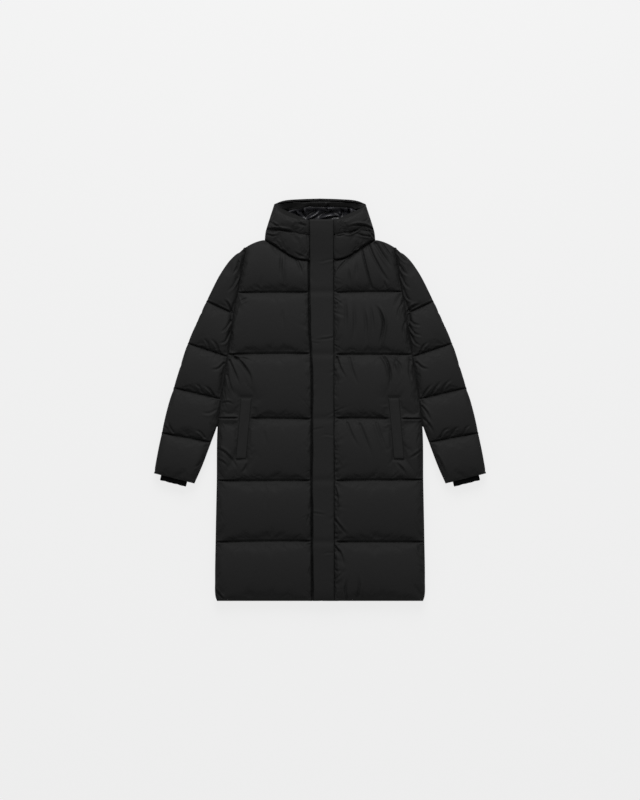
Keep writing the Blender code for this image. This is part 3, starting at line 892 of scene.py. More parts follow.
@dataclass
class PocketWelt:
    """The folded strip along a hand pocket's mouth."""

    side: int
    thick: float = 0.0045

    def build(self, wardrobe: Wardrobe) -> None:
        """Makes the welt: its section is a flat-topped mound, thin where it is sewn down.

        Args:
            wardrobe: dresses it.
        """
        v = spread(56, 0.3)[:, None]
        u = spread(16, 0.55)
        y = slide(WELT_ENDS[0] + SEAM_GAP, WELT_ENDS[1] - SEAM_GAP, v)
        inner_x, outer_x = POCKET_INNER(y) + SEAM_GAP, POCKET_OUTER(y) - SEAM_GAP
        x = slide(inner_x, outer_x, u)
        length = WELT_ENDS[1] - WELT_ENDS[0]
        to_end = np.minimum(v, 1 - v) * length
        from_sewn = x - inner_x
        from_free = outer_x - x
        rounded = swell(to_end, 0.005) * swell(from_sewn, 0.007) * swell(from_free, 0.0025)
        height = 0.35 + 0.65 * rounded
        height = height + 0.10 * np.sin(60 * y + 8 * u) * np.sin(math.pi * u)
        stitched = ((from_sewn - 0.0045) / 0.0009, (to_end - 0.004) / 0.0009)
        topstitch = sum(np.exp(-(away**2)) for away in stitched)
        base = WELT_SEAT + SEAM_GAP
        z = base + self.thick * np.clip(height, 0.3, 1.1) - 0.0007 * topstitch * (height > 0.8)
        outer = np.stack([x * self.side, y + 0 * x, z], axis=-1)
        name = sided("pocket_welt", self.side)
        piece = closed_wall("strip_" + name, outer, level_under(outer, base))
        wardrobe.dress(piece, name, Cloth.SHELL)


# --- The sleeves ---------------------------------------------------------------------------------


def sleeve_parting(length: Array) -> Array:
    """Half the gap between a sleeve's two layers at a length up from its hem: wide at the cuff."""
    return slide(RIB_CAVITY, LAYER_GAP, ease((length - 0.046) / 0.022))


@dataclass
class Sleeve(PaddedHalf):
    """A sleeve: one padded piece folded round its outer edge.

    u runs from the inner seam over the upper layer to the fold and back under, v up the sleeve.
    """

    stem: str = "sleeve"
    row_count: int = 24
    half_count: int = 24
    excess: float = 0.014
    most_moved: float = 0.005
    taken: tuple[float, float, float] = (0.5, 0.5, 1.0)
    rows: int = 5
    highest: float = 0.0535
    tuck: float = 0.0016

    def ends(self, place: Array) -> tuple[Array, Array]:
        """The two ends of lines across the sleeve, on the wearer's left, seen from above.

        Args:
            place: how far up the sleeve each line is, counted in quilted rows.

        Returns:
            The places on the inner seam and on the outer fold, each a column of x and y.
        """
        seam_y, fold_y = SLEEVE_INNER_Y(place), SLEEVE_OUTER_Y(place)
        armhole = BODY_SIDE(seam_y) + SEAM_GAP
        seam_x = np.where(seam_y > SLEEVE_INNER.places[-1], armhole, SLEEVE_INNER(seam_y))
        fold_x = SLEEVE_OUTER(fold_y)
        return np.stack([seam_x, seam_y], axis=-1), np.stack([fold_x, fold_y], axis=-1)

    def start(self) -> tuple[Array, Array]:
        """The face before it is blown up.

        Returns:
            Its grid, and True for each point on a stitch line or on the inner seam.
        """
        row, share = rows_of(self.rows, self.row_count)
        place = row + share
        seam, fold = self.ends(place)
        width = np.linalg.norm(fold - seam, axis=-1)[:, None]
        middles = sum(self.ends(np.arange(self.rows + 1.0))) / 2
        lengths = np.linalg.norm(np.diff(middles, axis=0), axis=-1)
        across = spread(self.half_count, 0.55)
        to_edge = np.minimum(across, 1 - across) * width
        seam_radius = np.where(across < 0.5, armhole_radius(seam[:, 1:]), EDGE_RADIUS)
        full = quilted(share[:, None], lengths[row][:, None], 0.0075, 0.38, 0.46)
        full = full * swell(to_edge, np.minimum(seam_radius, 0.45 * width))
        parted = sleeve_parting((place * lengths[0])[:, None]) * ease((to_edge - 0.009) / 0.012)
        hollow = MID_HEIGHT + np.maximum(parted, LAYER_GAP) + SEAM_WALL
        upper = np.maximum(hollow, FRONT_FLOOR + SEAM_WALL + LOFT * full)
        lower = 2 * MID_HEIGHT - upper
        upper[:, -1] = MID_HEIGHT
        plan = seam[:, None] + across[:, None] * (fold - seam)[:, None]
        plan = np.concatenate([plan, plan[:, -2::-1]], axis=1)
        heights = np.concatenate([upper, lower[:, -2::-1]], axis=1)
        points = np.concatenate([plan, heights[..., None]], axis=-1)
        held = np.zeros(points.shape[:2], bool)
        held[:: self.row_count] = True
        held[:, [0, -1]] = True
        return points, held

    def build(self, puffed: list[Array], wardrobe: Wardrobe) -> None:
        """Finishes the sleeve.

        Args:
            puffed: every face that the solver has blown up.
            wardrobe: dresses it.
        """
        points, _ = self.blown_up(puffed)
        x, y, z = np.moveaxis(points, -1, 0)
        fold_column = 3 * self.half_count
        top = np.arange(points.shape[1]) <= fold_column
        relief = np.zeros_like(x)
        for number in range(self.rows + 1):
            seam, fold = (end[0] for end in self.ends(np.array([float(number)])))
            line = (fold - seam) / np.linalg.norm(fold - seam)
            along = (x - seam[0]) * line[0] + (y - seam[1]) * line[1]
            off = (y - seam[1]) * line[0] - (x - seam[0]) * line[1]
            seed = 17 * number + 5 * self.side + 40
            relief += Puckers(seed, 0.016, 0.024, 0.0014, 0.5).relief(along, off)
        for fold_line in self.folds:
            relief += np.where(top, fold_line.relief(x * self.side, y), 0)
        up = z - MID_HEIGHT
        hold = ease((np.abs(up) - 0.004) / 0.009)
        z = z + np.sign(up) * relief * hold
        z = np.clip(z, 0.0, self.highest)
        by_body = y > SLEEVE_INNER.places[-1] - 0.004
        x = np.where(by_body, np.maximum(x, BODY_SIDE(y) + SEAM_GAP / 2), x)
        # The seam's own edge is tucked under the front's, so that no light comes between them.
        edges = np.isin(np.arange(x.shape[1]), (0, x.shape[1] - 1))
        x = np.where(by_body & edges, BODY_SIDE(y) - self.tuck, x)
        outer = np.stack([x * self.side, y, z], axis=-1)
        inner = self.hollow(outer, fold_column)
        piece = closed_wall("padded_" + self.name, outer, inner)
        wardrobe.dress(piece, self.name, Cloth.SHELL)

    def hollow(self, outer: Array, half: int) -> Array:
        """The inside of the sleeve: two layers that touch, parted near the hem to hold the cuff.

        Args:
            outer: the finished outer face.
            half: the number of its column on the fold.

        Returns:
            A grid with the same rows and twelve columns.
        """
        shares = np.array([0.0, 0.09, 0.20, 0.80, 0.91, 0.945])
        seam_line = outer[:, 0, :2]
        fold_line = outer[:, half, :2]
        length = np.linalg.norm(outer[:, half // 2, :2] - outer[0, half // 2, :2], axis=-1)[:, None]
        parted = np.maximum(sleeve_parting(length) * np.array([0, 0, 1, 1, 0, 0]), LAYER_GAP)
        plan = seam_line[:, None] + shares[:, None] * (fold_line - seam_line)[:, None]
        above = np.concatenate([plan, (MID_HEIGHT + parted)[..., None]], axis=-1)
        below = np.concatenate([plan, (MID_HEIGHT - parted)[..., None]], axis=-1)
        return np.concatenate([above, below[:, ::-1]], axis=1)


@dataclass
class RibCuff:
    """A flattened tube of ribbed knit in the mouth of a sleeve."""

    side: int
    sleeve: Sleeve
    hidden: float = 0.036
    shown: float = 0.0150
    wall: float = 0.0030
    rib: float = 0.0031
    ribbing: float = 0.00035

    def build(self, wardrobe: Wardrobe) -> None:
        """Makes the cuff: a racetrack section carried along the sleeve, its radius a ribbed sine.

        Args:
            wardrobe: dresses it.
        """
        seam, fold = (end[0] for end in self.sleeve.ends(np.array([0.0])))
        middle = (seam + fold) / 2
        along = (fold - seam) / np.linalg.norm(fold - seam)
        out = np.array([along[1], -along[0]])
        corner = RIB_CAVITY - SEAM_GAP
        flat = RIB_WIDTH / 2 - corner
        s = np.linspace(0, 1, 520, endpoint=False)
        around = s * (4 * flat + 2 * math.pi * corner)
        arc = math.pi * corner
        # The racetrack: along the top, round one end, back underneath, round the other.
        turned = (around - 2 * flat) / corner, (around - 4 * flat - arc) / corner + math.pi
        parts = [around < 2 * flat, around < 2 * flat + arc, around < 4 * flat + arc]
        turn = np.select(parts, [0 * s, turned[0], 0 * s + math.pi], turned[1])
        back = flat - (around - 2 * flat - arc)
        centre = np.select(parts, [around - flat, 0 * s + flat, back], 0 * s - flat)
        pitch = around[-1] / round(around[-1] / self.rib)
        ribbed = self.ribbing * np.cos(2 * math.pi * around / pitch)
        v = np.linspace(-self.hidden, self.shown, 16)
        rounded = 0.0009 * (1 - swell(self.shown - v, 0.0015))
        profile = [(place, -trim) for place, trim in zip(v, rounded)]
        profile += [(place, -self.wall + trim) for place, trim in zip(v[::-1], rounded[::-1])]
        place, inset = np.array(profile).T[:, :, None]
        radius = corner + inset + ribbed * (inset > -self.wall / 2) - self.ribbing
        across = centre + radius * np.sin(turn)
        height = MID_HEIGHT + radius * np.cos(turn)
        waved = place + 0.0008 * np.sin(9 * s * math.pi) * ease(place / self.shown)
        plan = middle + out * waved[..., None] + along * across[..., None]
        points = np.concatenate([plan * (self.side, 1), height[..., None]], axis=-1)
        rows, columns = points.shape[:2]
        a = np.arange(rows * columns).reshape(rows, columns)
        b, c = np.roll(a, -1, axis=1), np.roll(a, -1, axis=0)
        faces = np.stack([a, b, np.roll(c, -1, axis=1), c], axis=-1).reshape(-1, 4)
        name = sided("rib_cuff", self.side)
        piece = made_object("knit_" + name, points.reshape(-1, 3), faces.tolist())
        wardrobe.dress(piece, name, Cloth.RIB)


# --- The hood ------------------------------------------------------------------------------------


@dataclass
class HoodSide(PaddedHalf):
    """One side of the hood, rising from the neckline to the lower lip of its mouth."""

    stem: str = "hood_side"
    row_count: int = 17
    under_count: int = 4
    out_count: int = 32
    pressure: float = 1.0
    excess: float = 0.02
    highest: float = 0.0735
    by_flap_least: float = 0.36
    neck_share: float = 0.50

    def start(self) -> tuple[Array, Array, Array]:
        """The face before it is blown up: lift off the layer below, plus wall, plus loft.

        Returns:
            Its grid, its held points, and the height of its underside.
        """
        row, share = rows_of(2, self.row_count)
        under = np.linspace(0, 1, self.under_count + 1)[:-1]
        out = spread(self.out_count, 0.5)
        levels = []
        for level, reach in ((0.419, NECK_POINT[0]), (0.50, 0.163), (0.54, 0.137)):
            edge = float(self.flap(level))
            covered = slide(self.closure, edge, under)
            levels.append(np.concatenate([covered, slide(edge, reach, out)]))
        levels = np.array(levels)
        neck, quilt, lip = NECKLINE(levels[0]), HOOD_QUILT(levels[1]), LOWER_LIP(levels[2])
        heights = np.array([neck + SEAM_GAP / 2, quilt, lip])
        t = share[:, None]
        x = slide(levels[row], levels[row + 1], t)
        y = slide(heights[row], heights[row + 1], t)
        x = x + (HOOD_SIDE(y[:, -1:]) - x[:, -1:]) * (x / x[:, -1:]) ** 3
        marks = np.array(HOOD_LEVELS)
        lift = HOOD_LIFT(slide(marks[row], marks[row + 1], share))[:, None]
        floor = FRONT_FLOOR + lift * swell(x[:, -1:] - x, 0.075)
        rise = quilted(t, heights[row + 1] - heights[row], 0.006, 0.13, 0.16)
        full = (self.neck_share * swell(y - heights[0], 0.006) + rise) * swell(x[:, -1:] - x, EDGE_RADIUS)
        beside = x - self.flap(y)
        full = np.maximum(full, self.by_flap_least * (1 - ease(beside / 0.014)))
        z = floor + SEAM_WALL + LOFT * full * slide(0.55, 1.0, swell(beside, 0.016))
        under_flap = beside < 1e-6
        z = np.where(under_flap, FLAP_UNDER(y) - SEAM_GAP, z)
        z[:, 0] = floor[:, 0] + SEAM_WALL
        held = under_flap | (np.arange(x.shape[1]) == x.shape[1] - 1)
        held[:: self.row_count] = True
        return np.stack([x, y, z], axis=-1), held, floor

    def build(self, puffed: list[Array], wardrobe: Wardrobe) -> None:
        """Finishes this side of the hood.

        Args:
            puffed: every face that the solver has blown up.
            wardrobe: dresses it.
        """
        start, _, floor = self.start()
        points, seams = self.blown_up(puffed)
        under = refined(np.concatenate([start[..., :2], floor[..., None]], axis=-1), seams)
        x, y, z = np.moveaxis(points, -1, 0)
        beside = x - self.flap(y)
        relief = Puckers(7 + self.side, 0.017, 0.024, 0.0016, 0.5).relief(x, y - HOOD_QUILT(x))
        relief += Puckers(21 + self.side, 0.020, 0.018, 0.0009, 0.5).relief(x, y - NECKLINE(x))
        for fold in self.folds:
            relief += fold.relief(x * self.side, y)
        hold = ease(beside / 0.006) * ease((z - under[..., 2] - SEAM_WALL) / 0.008)
        z = np.minimum(np.maximum(z + relief * hold, under[..., 2] + 0.002), self.highest)
        outer = np.stack([np.maximum(x, self.closure) * self.side, y, z], axis=-1)
        inner = under[:, ::4] * (self.side, 1, 1)
        piece = closed_wall("padded_" + self.name, outer, inner)
        wardrobe.dress(piece, self.name, Cloth.SHELL)


@dataclass
class Hood:
    """The hood's crown, and the facing and lining inside its mouth."""

    lining_folds: tuple[Fold, ...]
    facing_folds: tuple[Fold, ...]
    curl: float = 0.034
    height: float = 0.058
    inside: float = 0.018
    lip: float = 0.005
    reach: float = 0.955
    facing_puff: float = 0.0095
    facing_highest: float = 0.017
    facing_wall: float = 0.0016
    lining_highest: float = 0.028
    lining_wall: float = 0.0010
    off_seat: float = 0.0009

    def surface(self, across: Array, along: Array, inner: bool) -> Array:
        """The crown's surface: level up to 1 along it, then a quarter ellipse up to its lip at 2.

        Args:
            across: places from -1 to 1 across it.
            along: places from 0, at the neck, to 2, at the lip.
            inner: True for its inner face.

        Returns:
            The points.
        """
        across, along = np.broadcast_arrays(np.asarray(across, float), np.asarray(along, float))
        reach = np.abs(across)
        lip_y = CROWN(reach * MOUTH_HALF)
        neck_y = NECK_POINT[1] + SEAM_GAP
        turn = np.clip(along - 1, 0, 1) * math.pi / 2
        corner = (1 - reach) * MOUTH_HALF
        lip_z = slide(BACK_CEILING - SEAM_WALL, self.height, swell(corner - 0.007, 0.070))
        curl = np.full_like(across, self.curl)
        if inner:
            lip_z = lip_z + SEAM_WALL * (1 - swell(corner, 0.045))
            curl = curl - self.lip * swell(corner, 0.045)
        y = slide(neck_y, lip_y - self.curl, np.clip(along, 0, 1)) + curl * np.sin(turn)
        half = HOOD_SIDE(y)
        full = swell(half * (1 - reach), 0.030) * swell(y - neck_y, 0.024)
        low = (BACK_CEILING - SEAM_WALL) * (1 - full)
        if inner:
            low = slide(BACK_CEILING, self.inside, full)
        return np.stack([across * half, y, slide(lip_z, low, np.cos(turn))], axis=-1)

    def build_crown(self, wardrobe: Wardrobe) -> None:
        """Makes the padded crown, its lip rolled over."""
        across = spread(72, 0.4) * 2 - 1
        along = np.concatenate([spread(26, 0.4), 1 + np.linspace(0, 1, 15)[1:]])[:, None]
        outer, inner = (self.surface(across, along, side) for side in (False, True))
        x, y = outer[..., 0], outer[..., 1]
        ripple = Puckers(3, 0.022, 0.030, 0.0014).relief(x, y - 0.603)
        ripple = ripple + Puckers(4, 0.026, 0.03, 0.0014).relief(x, y - 0.48)
        hold = ease((along - 0.1) / 0.2) * ease((2 - along) / 0.3)
        hold = hold * ease((1 - np.abs(across)) / 0.1)
        flat = ease(outer[..., 2] / 0.004)
        outer = moved_off(outer, -ripple * hold * flat)
        outer[..., 2] = np.maximum(outer[..., 2], 0)
        piece = closed_wall("padded_hood_crown", outer, inner[:, ::2])
        wardrobe.dress(piece, "hood_crown", Cloth.SHELL)

    def build_facing(self, wardrobe: Wardrobe) -> None:
        """Makes the band of shell cloth inside the mouth, from the lip to the lining."""
        across = np.linspace(-self.reach, self.reach, 150)
        low = LINING_TOP(np.abs(across - LINING_SHIFT))
        share = np.linspace(0, 1, 30)[:, None]
        seat = self.surface(across, slide(low - 0.05, 1.985, share), True)
        x, y = seat[..., 0], seat[..., 1]
        relief = sum(fold.relief(x, y) for fold in self.facing_folds)
        relief += Puckers(12, 0.020, 0.020, 0.0012, 0.8).relief(x, y - CROWN(np.abs(x)))
        puffed = self.facing_puff * np.sin(math.pi * share)
        rise = np.clip(0.0030 + puffed + relief, 0, self.facing_highest)
        rise = rise * ease((1 - np.abs(across)) / 0.12)
        under = moved_off(seat, self.off_seat + rise)
        piece = closed_wall("hood_facing_band", moved_off(under, self.facing_wall), under)
        wardrobe.dress(piece, "hood_facing", Cloth.SHELL)

    def build_lining(self, wardrobe: Wardrobe) -> None:
        """Makes the lining, loose in the hood, with the folds that it lies in."""
        across = np.linspace(-self.reach, self.reach, 190)
        top = LINING_TOP(np.abs(across - LINING_SHIFT)) - 0.03
        share = np.linspace(0, 1, 90)[:, None]
        seat = self.surface(across, slide(0.10, top, share), True)
        x, y = seat[..., 0], seat[..., 1]
        relief = 0.0045 + sum(fold.relief(x, y) for fold in self.lining_folds)
        rng = np.random.default_rng(4)
        for size, wave in ((0.0016, 42.0), (0.0007, 80.0), (0.0003, 150.0)):
            a, b, c = rng.uniform(0.4, 1.2, 3)
            relief += size * np.sin(wave * (a * x + b * y) + 3 * np.sin(wave * 0.35 * (c * y - x)))
        relief += 0.013 * np.exp(-(((share - 0.88) / 0.22) ** 2))
        edge = ease((1 - share) / 0.07) * ease((self.reach - np.abs(across)) / 0.08)
        rise = (np.clip(relief, 0.0, self.lining_highest) * edge)[..., None]
        under = seat + rise * (0, -0.25, 1) + np.array([0, 0, self.off_seat])
        piece = closed_wall("hood_lining_cloth", moved_off(under, self.lining_wall), under)
        wardrobe.dress(piece, "hood_lining", Cloth.LINING)


# --- The closure ---------------------------------------------------------------------------------


@dataclass
class StormFlap:
    """The flap over the closure: free along one edge, sewn down along the other."""

    folds: tuple[Fold, ...]
    thick: float = 0.0055
    thinnest: float = 0.0014
    dip: float = 0.0022
    relief: float = 0.42

    def build(self, wardrobe: Wardrobe) -> None:
        """Makes the flap: a level strip, rounded at its free edge and thin where it is sewn.

        Args:
            wardrobe: dresses it.
        """
        y = np.linspace(*FLAP_ENDS, 420)[:, None]
        u = spread(30, 0.6)
        free, sewn = -FLAP_FREE(y) + 0.0006, FLAP_SEWN(y) - 0.0004
        free = free + 0.0006 * np.sin(31 * y) + 0.0004 * np.sin(77 * y + 1)
        x = slide(free, sewn, u)
        y = y + 0 * x
        from_free, from_sewn = x - free, sewn - x
        to_end = np.minimum(y - FLAP_ENDS[0], FLAP_ENDS[1] - y)
        seat = FLAP_UNDER(y)
        dips = sum(np.exp(-(((y - level) / 0.011) ** 2)) for level in BODY_QUILTS[1:])
        section = 0.3 + 0.7 * swell(from_free, 0.0032)
        section = section * (0.45 + 0.55 * swell(from_sewn, 0.009))
        section = section * (0.5 + 0.5 * swell(to_end, 0.004))
        relief = self.relief * sum(fold.relief(x, y) for fold in self.folds)
        relief += Puckers(61, 0.028, 0.016, 0.0010, 0.6).relief(y, from_sewn)
        relief += Puckers(62, 0.045, 0.014, 0.0007, 0.6).relief(y, from_free)
        rolled = 0.0009 * np.sin(math.pi * u) ** 0.6
        loose = rolled - self.dip * dips + relief * ease(from_sewn / 0.003)
        top = seat + self.thick * section + loose * (section > 0.3)
        top = np.maximum(top, seat + self.thinnest)
        inner = np.stack([x, y, seat], axis=-1)[:, [0, 15, 30]]
        piece = closed_wall("storm_flap_strip", np.stack([x, y, top], axis=-1), inner)
        wardrobe.dress(piece, "storm_flap", Cloth.SHELL)


@dataclass
class FrontZip:
    """The closed zip under the flap: two tapes and the chain of teeth between them."""

    width: float = 0.0068
    tooth: float = 0.003
    tape: float = 0.0016
    ridge: float = 0.0019

    def build(self, wardrobe: Wardrobe) -> None:
        """Makes the zip: level tapes, and a ridge between them whose height steps with each tooth.

        Args:
            wardrobe: dresses it.
        """
        y = np.linspace(-0.597, 0.5365, 1520)[:, None]
        u = np.array([-0.5, -0.36, -0.30, -0.12, 0.12, 0.30, 0.36, 0.5])
        ridge = np.array([0, 0, 0.7, 1, 1, 0.7, 0, 0]) * self.ridge
        x = CLOSURE + self.width * u + 0 * y
        y = y + 0 * x
        under = FRONT_FLOOR + HOOD_LIFT(y)
        toothed = 0.72 + 0.28 * np.cos(2 * math.pi * y / self.tooth + math.pi * (u > 0))
        outer = np.stack([x, y, under + self.tape + ridge * toothed], axis=-1)
        inner = np.stack([x, y, under], axis=-1)[:, [0, -1]]
        piece = closed_wall("zip_chain", outer, inner)
        wardrobe.dress(piece, "front_zip", Cloth.TAPE)


# --- Where the main folds lie --------------------------------------------------------------------


def folds_at(*rows: tuple[float, ...]) -> tuple[Fold, ...]:
    """Folds from rows of numbers.

    Args:
        rows: for each fold its width and depth in millimetres, its ridge, its lean, 1 if it starts
            at full depth on a seam, then x and y of each place along it, in millimetres.

    Returns:
        The folds, in metres.
    """
    made = []
    for width, depth, ridge, lean, from_seam, *path in rows:
        places = tuple((x / 1000, y / 1000) for x, y in zip(path[::2], path[1::2]))
        made.append(Fold(places, width / 1000, depth / 1000, ridge, int(lean), bool(from_seam)))
    return tuple(made)


FRONT_RIGHT_FOLDS = folds_at(
    (6.5, 3.0, 0.5, 1, 0, -114, 452, -117, 400, -115, 350),
    (5.0, 1.8, 0.5, -1, 0, -106, 400, -105, 330),
    (6.0, 2.6, 0.6, 1, 1, -72, 424, -60, 398, -53, 372),
    (5.0, 2.2, 0.6, 1, 0, -214, 306, -230, 300, -252, 286),
    (7.0, 1.2, 0.5, 1, 0, -112, 275, -113, 215),
    (6.0, 4.0, 0.7, 1, 1, -262, 133, -236, 112, -211, 74, -205, 30),
    (5.5, 3.0, 0.6, 1, 1, -272, 118, -255, 80, -240, 40),
    (5.0, 2.8, 0.6, -1, 1, -278, 75, -268, 40, -252, 4),
    (6.0, 2.2, 0.5, 1, 1, -262, 126, -228, 124, -190, 112),
    (4.5, 2.0, 0.6, 1, 1, -295, -10, -275, -6, -255, -16),
    (5.5, 3.2, 0.6, 1, 1, -306, -145, -284, -158, -258, -186, -246, -214),
    (4.5, 2.4, 0.6, 1, 1, -308, -176, -290, -186, -272, -205),
    (5.5, 2.6, 0.6, -1, 0, -214, -182, -224, -205, -240, -226),
    (7.0, 1.0, 0.5, 1, 0, -170, -80, -160, -140),
    (4.5, 3.0, 0.6, 1, 1, -310, -572, -296, -590, -282, -600),
    (8.0, 1.0, 0.5, 1, 0, -160, -262, -167, -330),
    (4.5, 1.8, 0.5, 1, 0, -34, -340, -40, -380),
)
FRONT_LEFT_FOLDS = folds_at(
    (6.0, 3.0, 0.5, -1, 1, 120, 452, 85, 424, 56, 392, 46, 366),
    (5.0, 4.0, 0.6, 1, 1, 124, 456, 136, 405, 152, 345, 157, 330),
    (6.0, 3.4, 0.6, 1, 1, 146, 466, 160, 430, 190, 376, 210, 350),
    (6.0, 3.6, 0.6, -1, 1, 166, 470, 190, 432, 222, 386),
    (5.0, 3.0, 0.5, -1, 1, 184, 472, 206, 440, 228, 410),
    (5.5, 2.0, 0.5, 1, 0, 86, 398, 90, 336),
    (7.0, 1.8, 0.5, -1, 0, 108, 420, 110, 360),
    (4.5, 2.0, 0.5, 1, 0, 192, 360, 199, 332),
    (5.6, 5.2, 0.7, 1, 0, 162, 288, 181, 262, 190, 226, 182, 180, 176, 150),
    (6.5, 2.0, 0.6, 1, 0, 75, 310, 78, 250, 74, 185),
    (7.0, 2.1, 0.6, -1, 0, 100, 300, 104, 230, 98, 165),
    (6.8, 2.4, 0.6, 1, 0, 128, 290, 138, 225, 134, 160),
    (5.5, 1.8, 0.6, 1, 0, 150, 290, 158, 240, 160, 190),
    (5.5, 2.6, 0.6, 1, 1, 254, 300, 236, 270, 232, 236),
    (5.5, 3.0, 0.6, 1, 1, 262, 246, 250, 214, 252, 180),
    (5.2, 5.0, 0.7, -1, 1, 190, 134, 204, 108, 211, 70, 208, 30),
    (6.0, 2.6, 0.6, -1, 1, 214, 132, 238, 106, 246, 74),
    (5.0, 2.4, 0.6, 1, 1, 232, 133, 224, 105, 226, 78),
    (5.5, 2.6, 0.6, 1, 1, 270, 118, 268, 80, 276, 50),
    (5.2, 2.6, 0.6, 1, 1, 50, 128, 62, 94, 82, 58),
    (6.0, 2.0, 0.6, 1, 1, 88, 126, 98, 86, 116, 40),
    (6.0, 2.0, 0.6, 1, 1, 82, -70, 96, -106, 118, -146),
    (7.0, 2.2, 0.6, 1, 1, 120, -75, 138, -120, 156, -176),
    (6.0, 2.0, 0.6, -1, 1, 170, -70, 186, -118, 204, -160),
    (5.6, 3.0, 0.6, 1, 0, 224, -184, 246, -206, 262, -232),
    (5.0, 2.6, 0.6, -1, 1, 306, -150, 286, -164, 262, -180),
    (5.0, 2.6, 0.6, 1, 1, 44, -262, 52, -290, 50, -330),
    (5.5, 3.0, 0.6, 1, 1, 44, -360, 62, -382, 86, -410),
    (5.5, 3.0, 0.6, 1, 1, 44, -440, 62, -462, 72, -500),
    (6.0, 3.0, 0.6, 1, 1, 80, -600, 76, -565, 84, -530),
    (6.5, 2.6, 0.6, -1, 1, 110, -600, 118, -560, 112, -520),
    (5.0, 2.2, 0.6, 1, 0, 306, -470, 296, -450, 290, -430),
)
SLEEVE_RIGHT_FOLDS = folds_at(
    (10.0, 5.0, 0.0, 1, 0, -252, 300, -263, 265, -270, 215, -278, 150),
    (8.0, 3.0, 0.0, 1, 0, -284, 120, -292, 60, -302, -10),
    (4.5, 2.6, 0.6, 1, 1, -244, 414, -252, 390, -266, 372),
    (5.0, 2.8, 0.6, 1, 1, -248, 366, -262, 340, -282, 322),
    (5.0, 3.6, 0.6, -1, 1, -264, 262, -276, 288, -290, 302),
    (5.0, 3.4, 0.6, 1, 1, -268, 238, -282, 214, -300, 200),
    (4.8, 3.6, 0.6, 1, 1, -270, 204, -284, 176, -304, 168),
    (5.0, 3.2, 0.6, 1, 1, -302, 142, -312, 168, -330, 186),
    (4.5, 2.4, 0.6, 1, 1, -330, 150, -338, 172, -350, 188),
    (5.0, 2.6, 0.6, -1, 1, -288, 110, -306, 94, -330, 90),
    (4.8, 3.0, 0.6, 1, 1, -318, 12, -330, 30, -350, 46),
    (4.5, 2.2, 0.6, 1, 1, -352, 22, -362, 40, -378, 52),
    (5.5, 1.8, 0.6, 1, 1, -312, -30, -334, -40, -360, -36),
    (4.8, 2.4, 0.6, 1, 1, -346, -112, -360, -96, -378, -88),
    (4.5, 2.6, 0.6, 1, 1, -440, -96, -450, -80, -452, -64),
    (4.2, 2.6, 0.6, 1, 1, -470, -62, -464, -80, -452, -90),
    (5.0, 1.6, 0.6, 1, 1, -350, -180, -366, -196, -384, -204),
)
SLEEVE_LEFT_FOLDS = folds_at(
    (11.0, 6.2, 0.0, 1, 0, 252, 330, 262, 285, 266, 235, 274, 165),
    (8.0, 5.0, 0.0, 1, 0, 262, 285, 268, 245, 270, 215),
    (4.5, 3.0, 0.6, -1, 1, 236, 440, 252, 420, 270, 412),
    (5.0, 3.4, 0.6, -1, 1, 238, 404, 252, 384, 272, 372),
    (5.0, 3.4, 0.6, -1, 1, 244, 372, 256, 346, 276, 330),
    (4.6, 3.2, 0.6, -1, 1, 250, 332, 262, 306, 280, 296),
    (5.2, 4.0, 0.6, 1, 1, 262, 262, 278, 280, 302, 286),
    (5.0, 4.0, 0.6, -1, 1, 264, 246, 282, 228, 306, 222),
    (4.8, 3.8, 0.6, -1, 1, 268, 222, 284, 200, 310, 190),
    (4.6, 3.6, 0.6, -1, 1, 272, 196, 286, 172, 306, 160),
    (4.8, 3.0, 0.6, -1, 1, 300, 142, 310, 162, 328, 176),
    (5.0, 3.2, 0.6, 1, 1, 290, 112, 306, 98, 330, 90),
    (5.0, 3.6, 0.6, -1, 1, 308, 10, 320, 30, 340, 52),
    (5.0, 3.4, 0.6, -1, 1, 334, 14, 346, 36, 366, 60),
    (4.8, 3.0, 0.6, -1, 1, 364, 20, 374, 44, 398, 66),
    (5.0, 3.4, 0.6, 1, 1, 306, -20, 322, -40, 332, -68),
    (4.8, 3.0, 0.6, 1, 1, 312, -56, 330, -78, 342, -104),
    (4.6, 2.8, 0.6, -1, 1, 360, -112, 372, -92, 392, -82),
    (4.6, 2.6, 0.6, -1, 1, 392, -108, 404, -88, 420, -80),
    (4.4, 2.4, 0.6, -1, 1, 430, -100, 438, -84, 452, -74),
    (5.5, 1.8, 0.6, 1, 1, 352, -170, 366, -196, 374, -224),
)
HOOD_RIGHT_FOLDS = folds_at(
    (5.0, 5.0, 0.7, 1, 1, -160, 512, -125, 511, -96, 506, -70, 501),
    (4.0, 2.6, 0.6, 1, 1, -152, 536, -134, 524, -116, 513),
    (4.2, 2.6, 0.6, 1, 1, -160, 497, -144, 492, -122, 492),
    (3.5, 2.2, 0.5, 1, 1, -158, 522, -148, 519, -140, 512),
    (5.0, 2.8, 0.5, 1, 0, -68, 531, -52, 524, -36, 522),
    (4.5, 1.8, 0.5, 1, 0, -82, 446, -60, 434, -36, 424),
)
HOOD_LEFT_FOLDS = folds_at(
    (4.6, 5.6, 0.7, -1, 1, 158, 513, 136, 522, 110, 524, 74, 514),
    (4.0, 4.6, 0.6, 1, 0, 128, 520, 104, 506, 82, 499, 62, 511),
    (4.0, 3.0, 0.6, 1, 1, 150, 490, 124, 494, 98, 502),
    (3.6, 3.6, 0.6, 1, 1, 162, 488, 150, 503, 140, 517),
    (4.0, 2.4, 0.6, 1, 1, 146, 552, 138, 538, 122, 532),
    (3.6, 2.2, 0.5, 1, 0, 44, 490, 62, 492, 80, 497),
    (4.0, 2.4, 0.6, 1, 1, 152, 476, 128, 462, 96, 446),
)
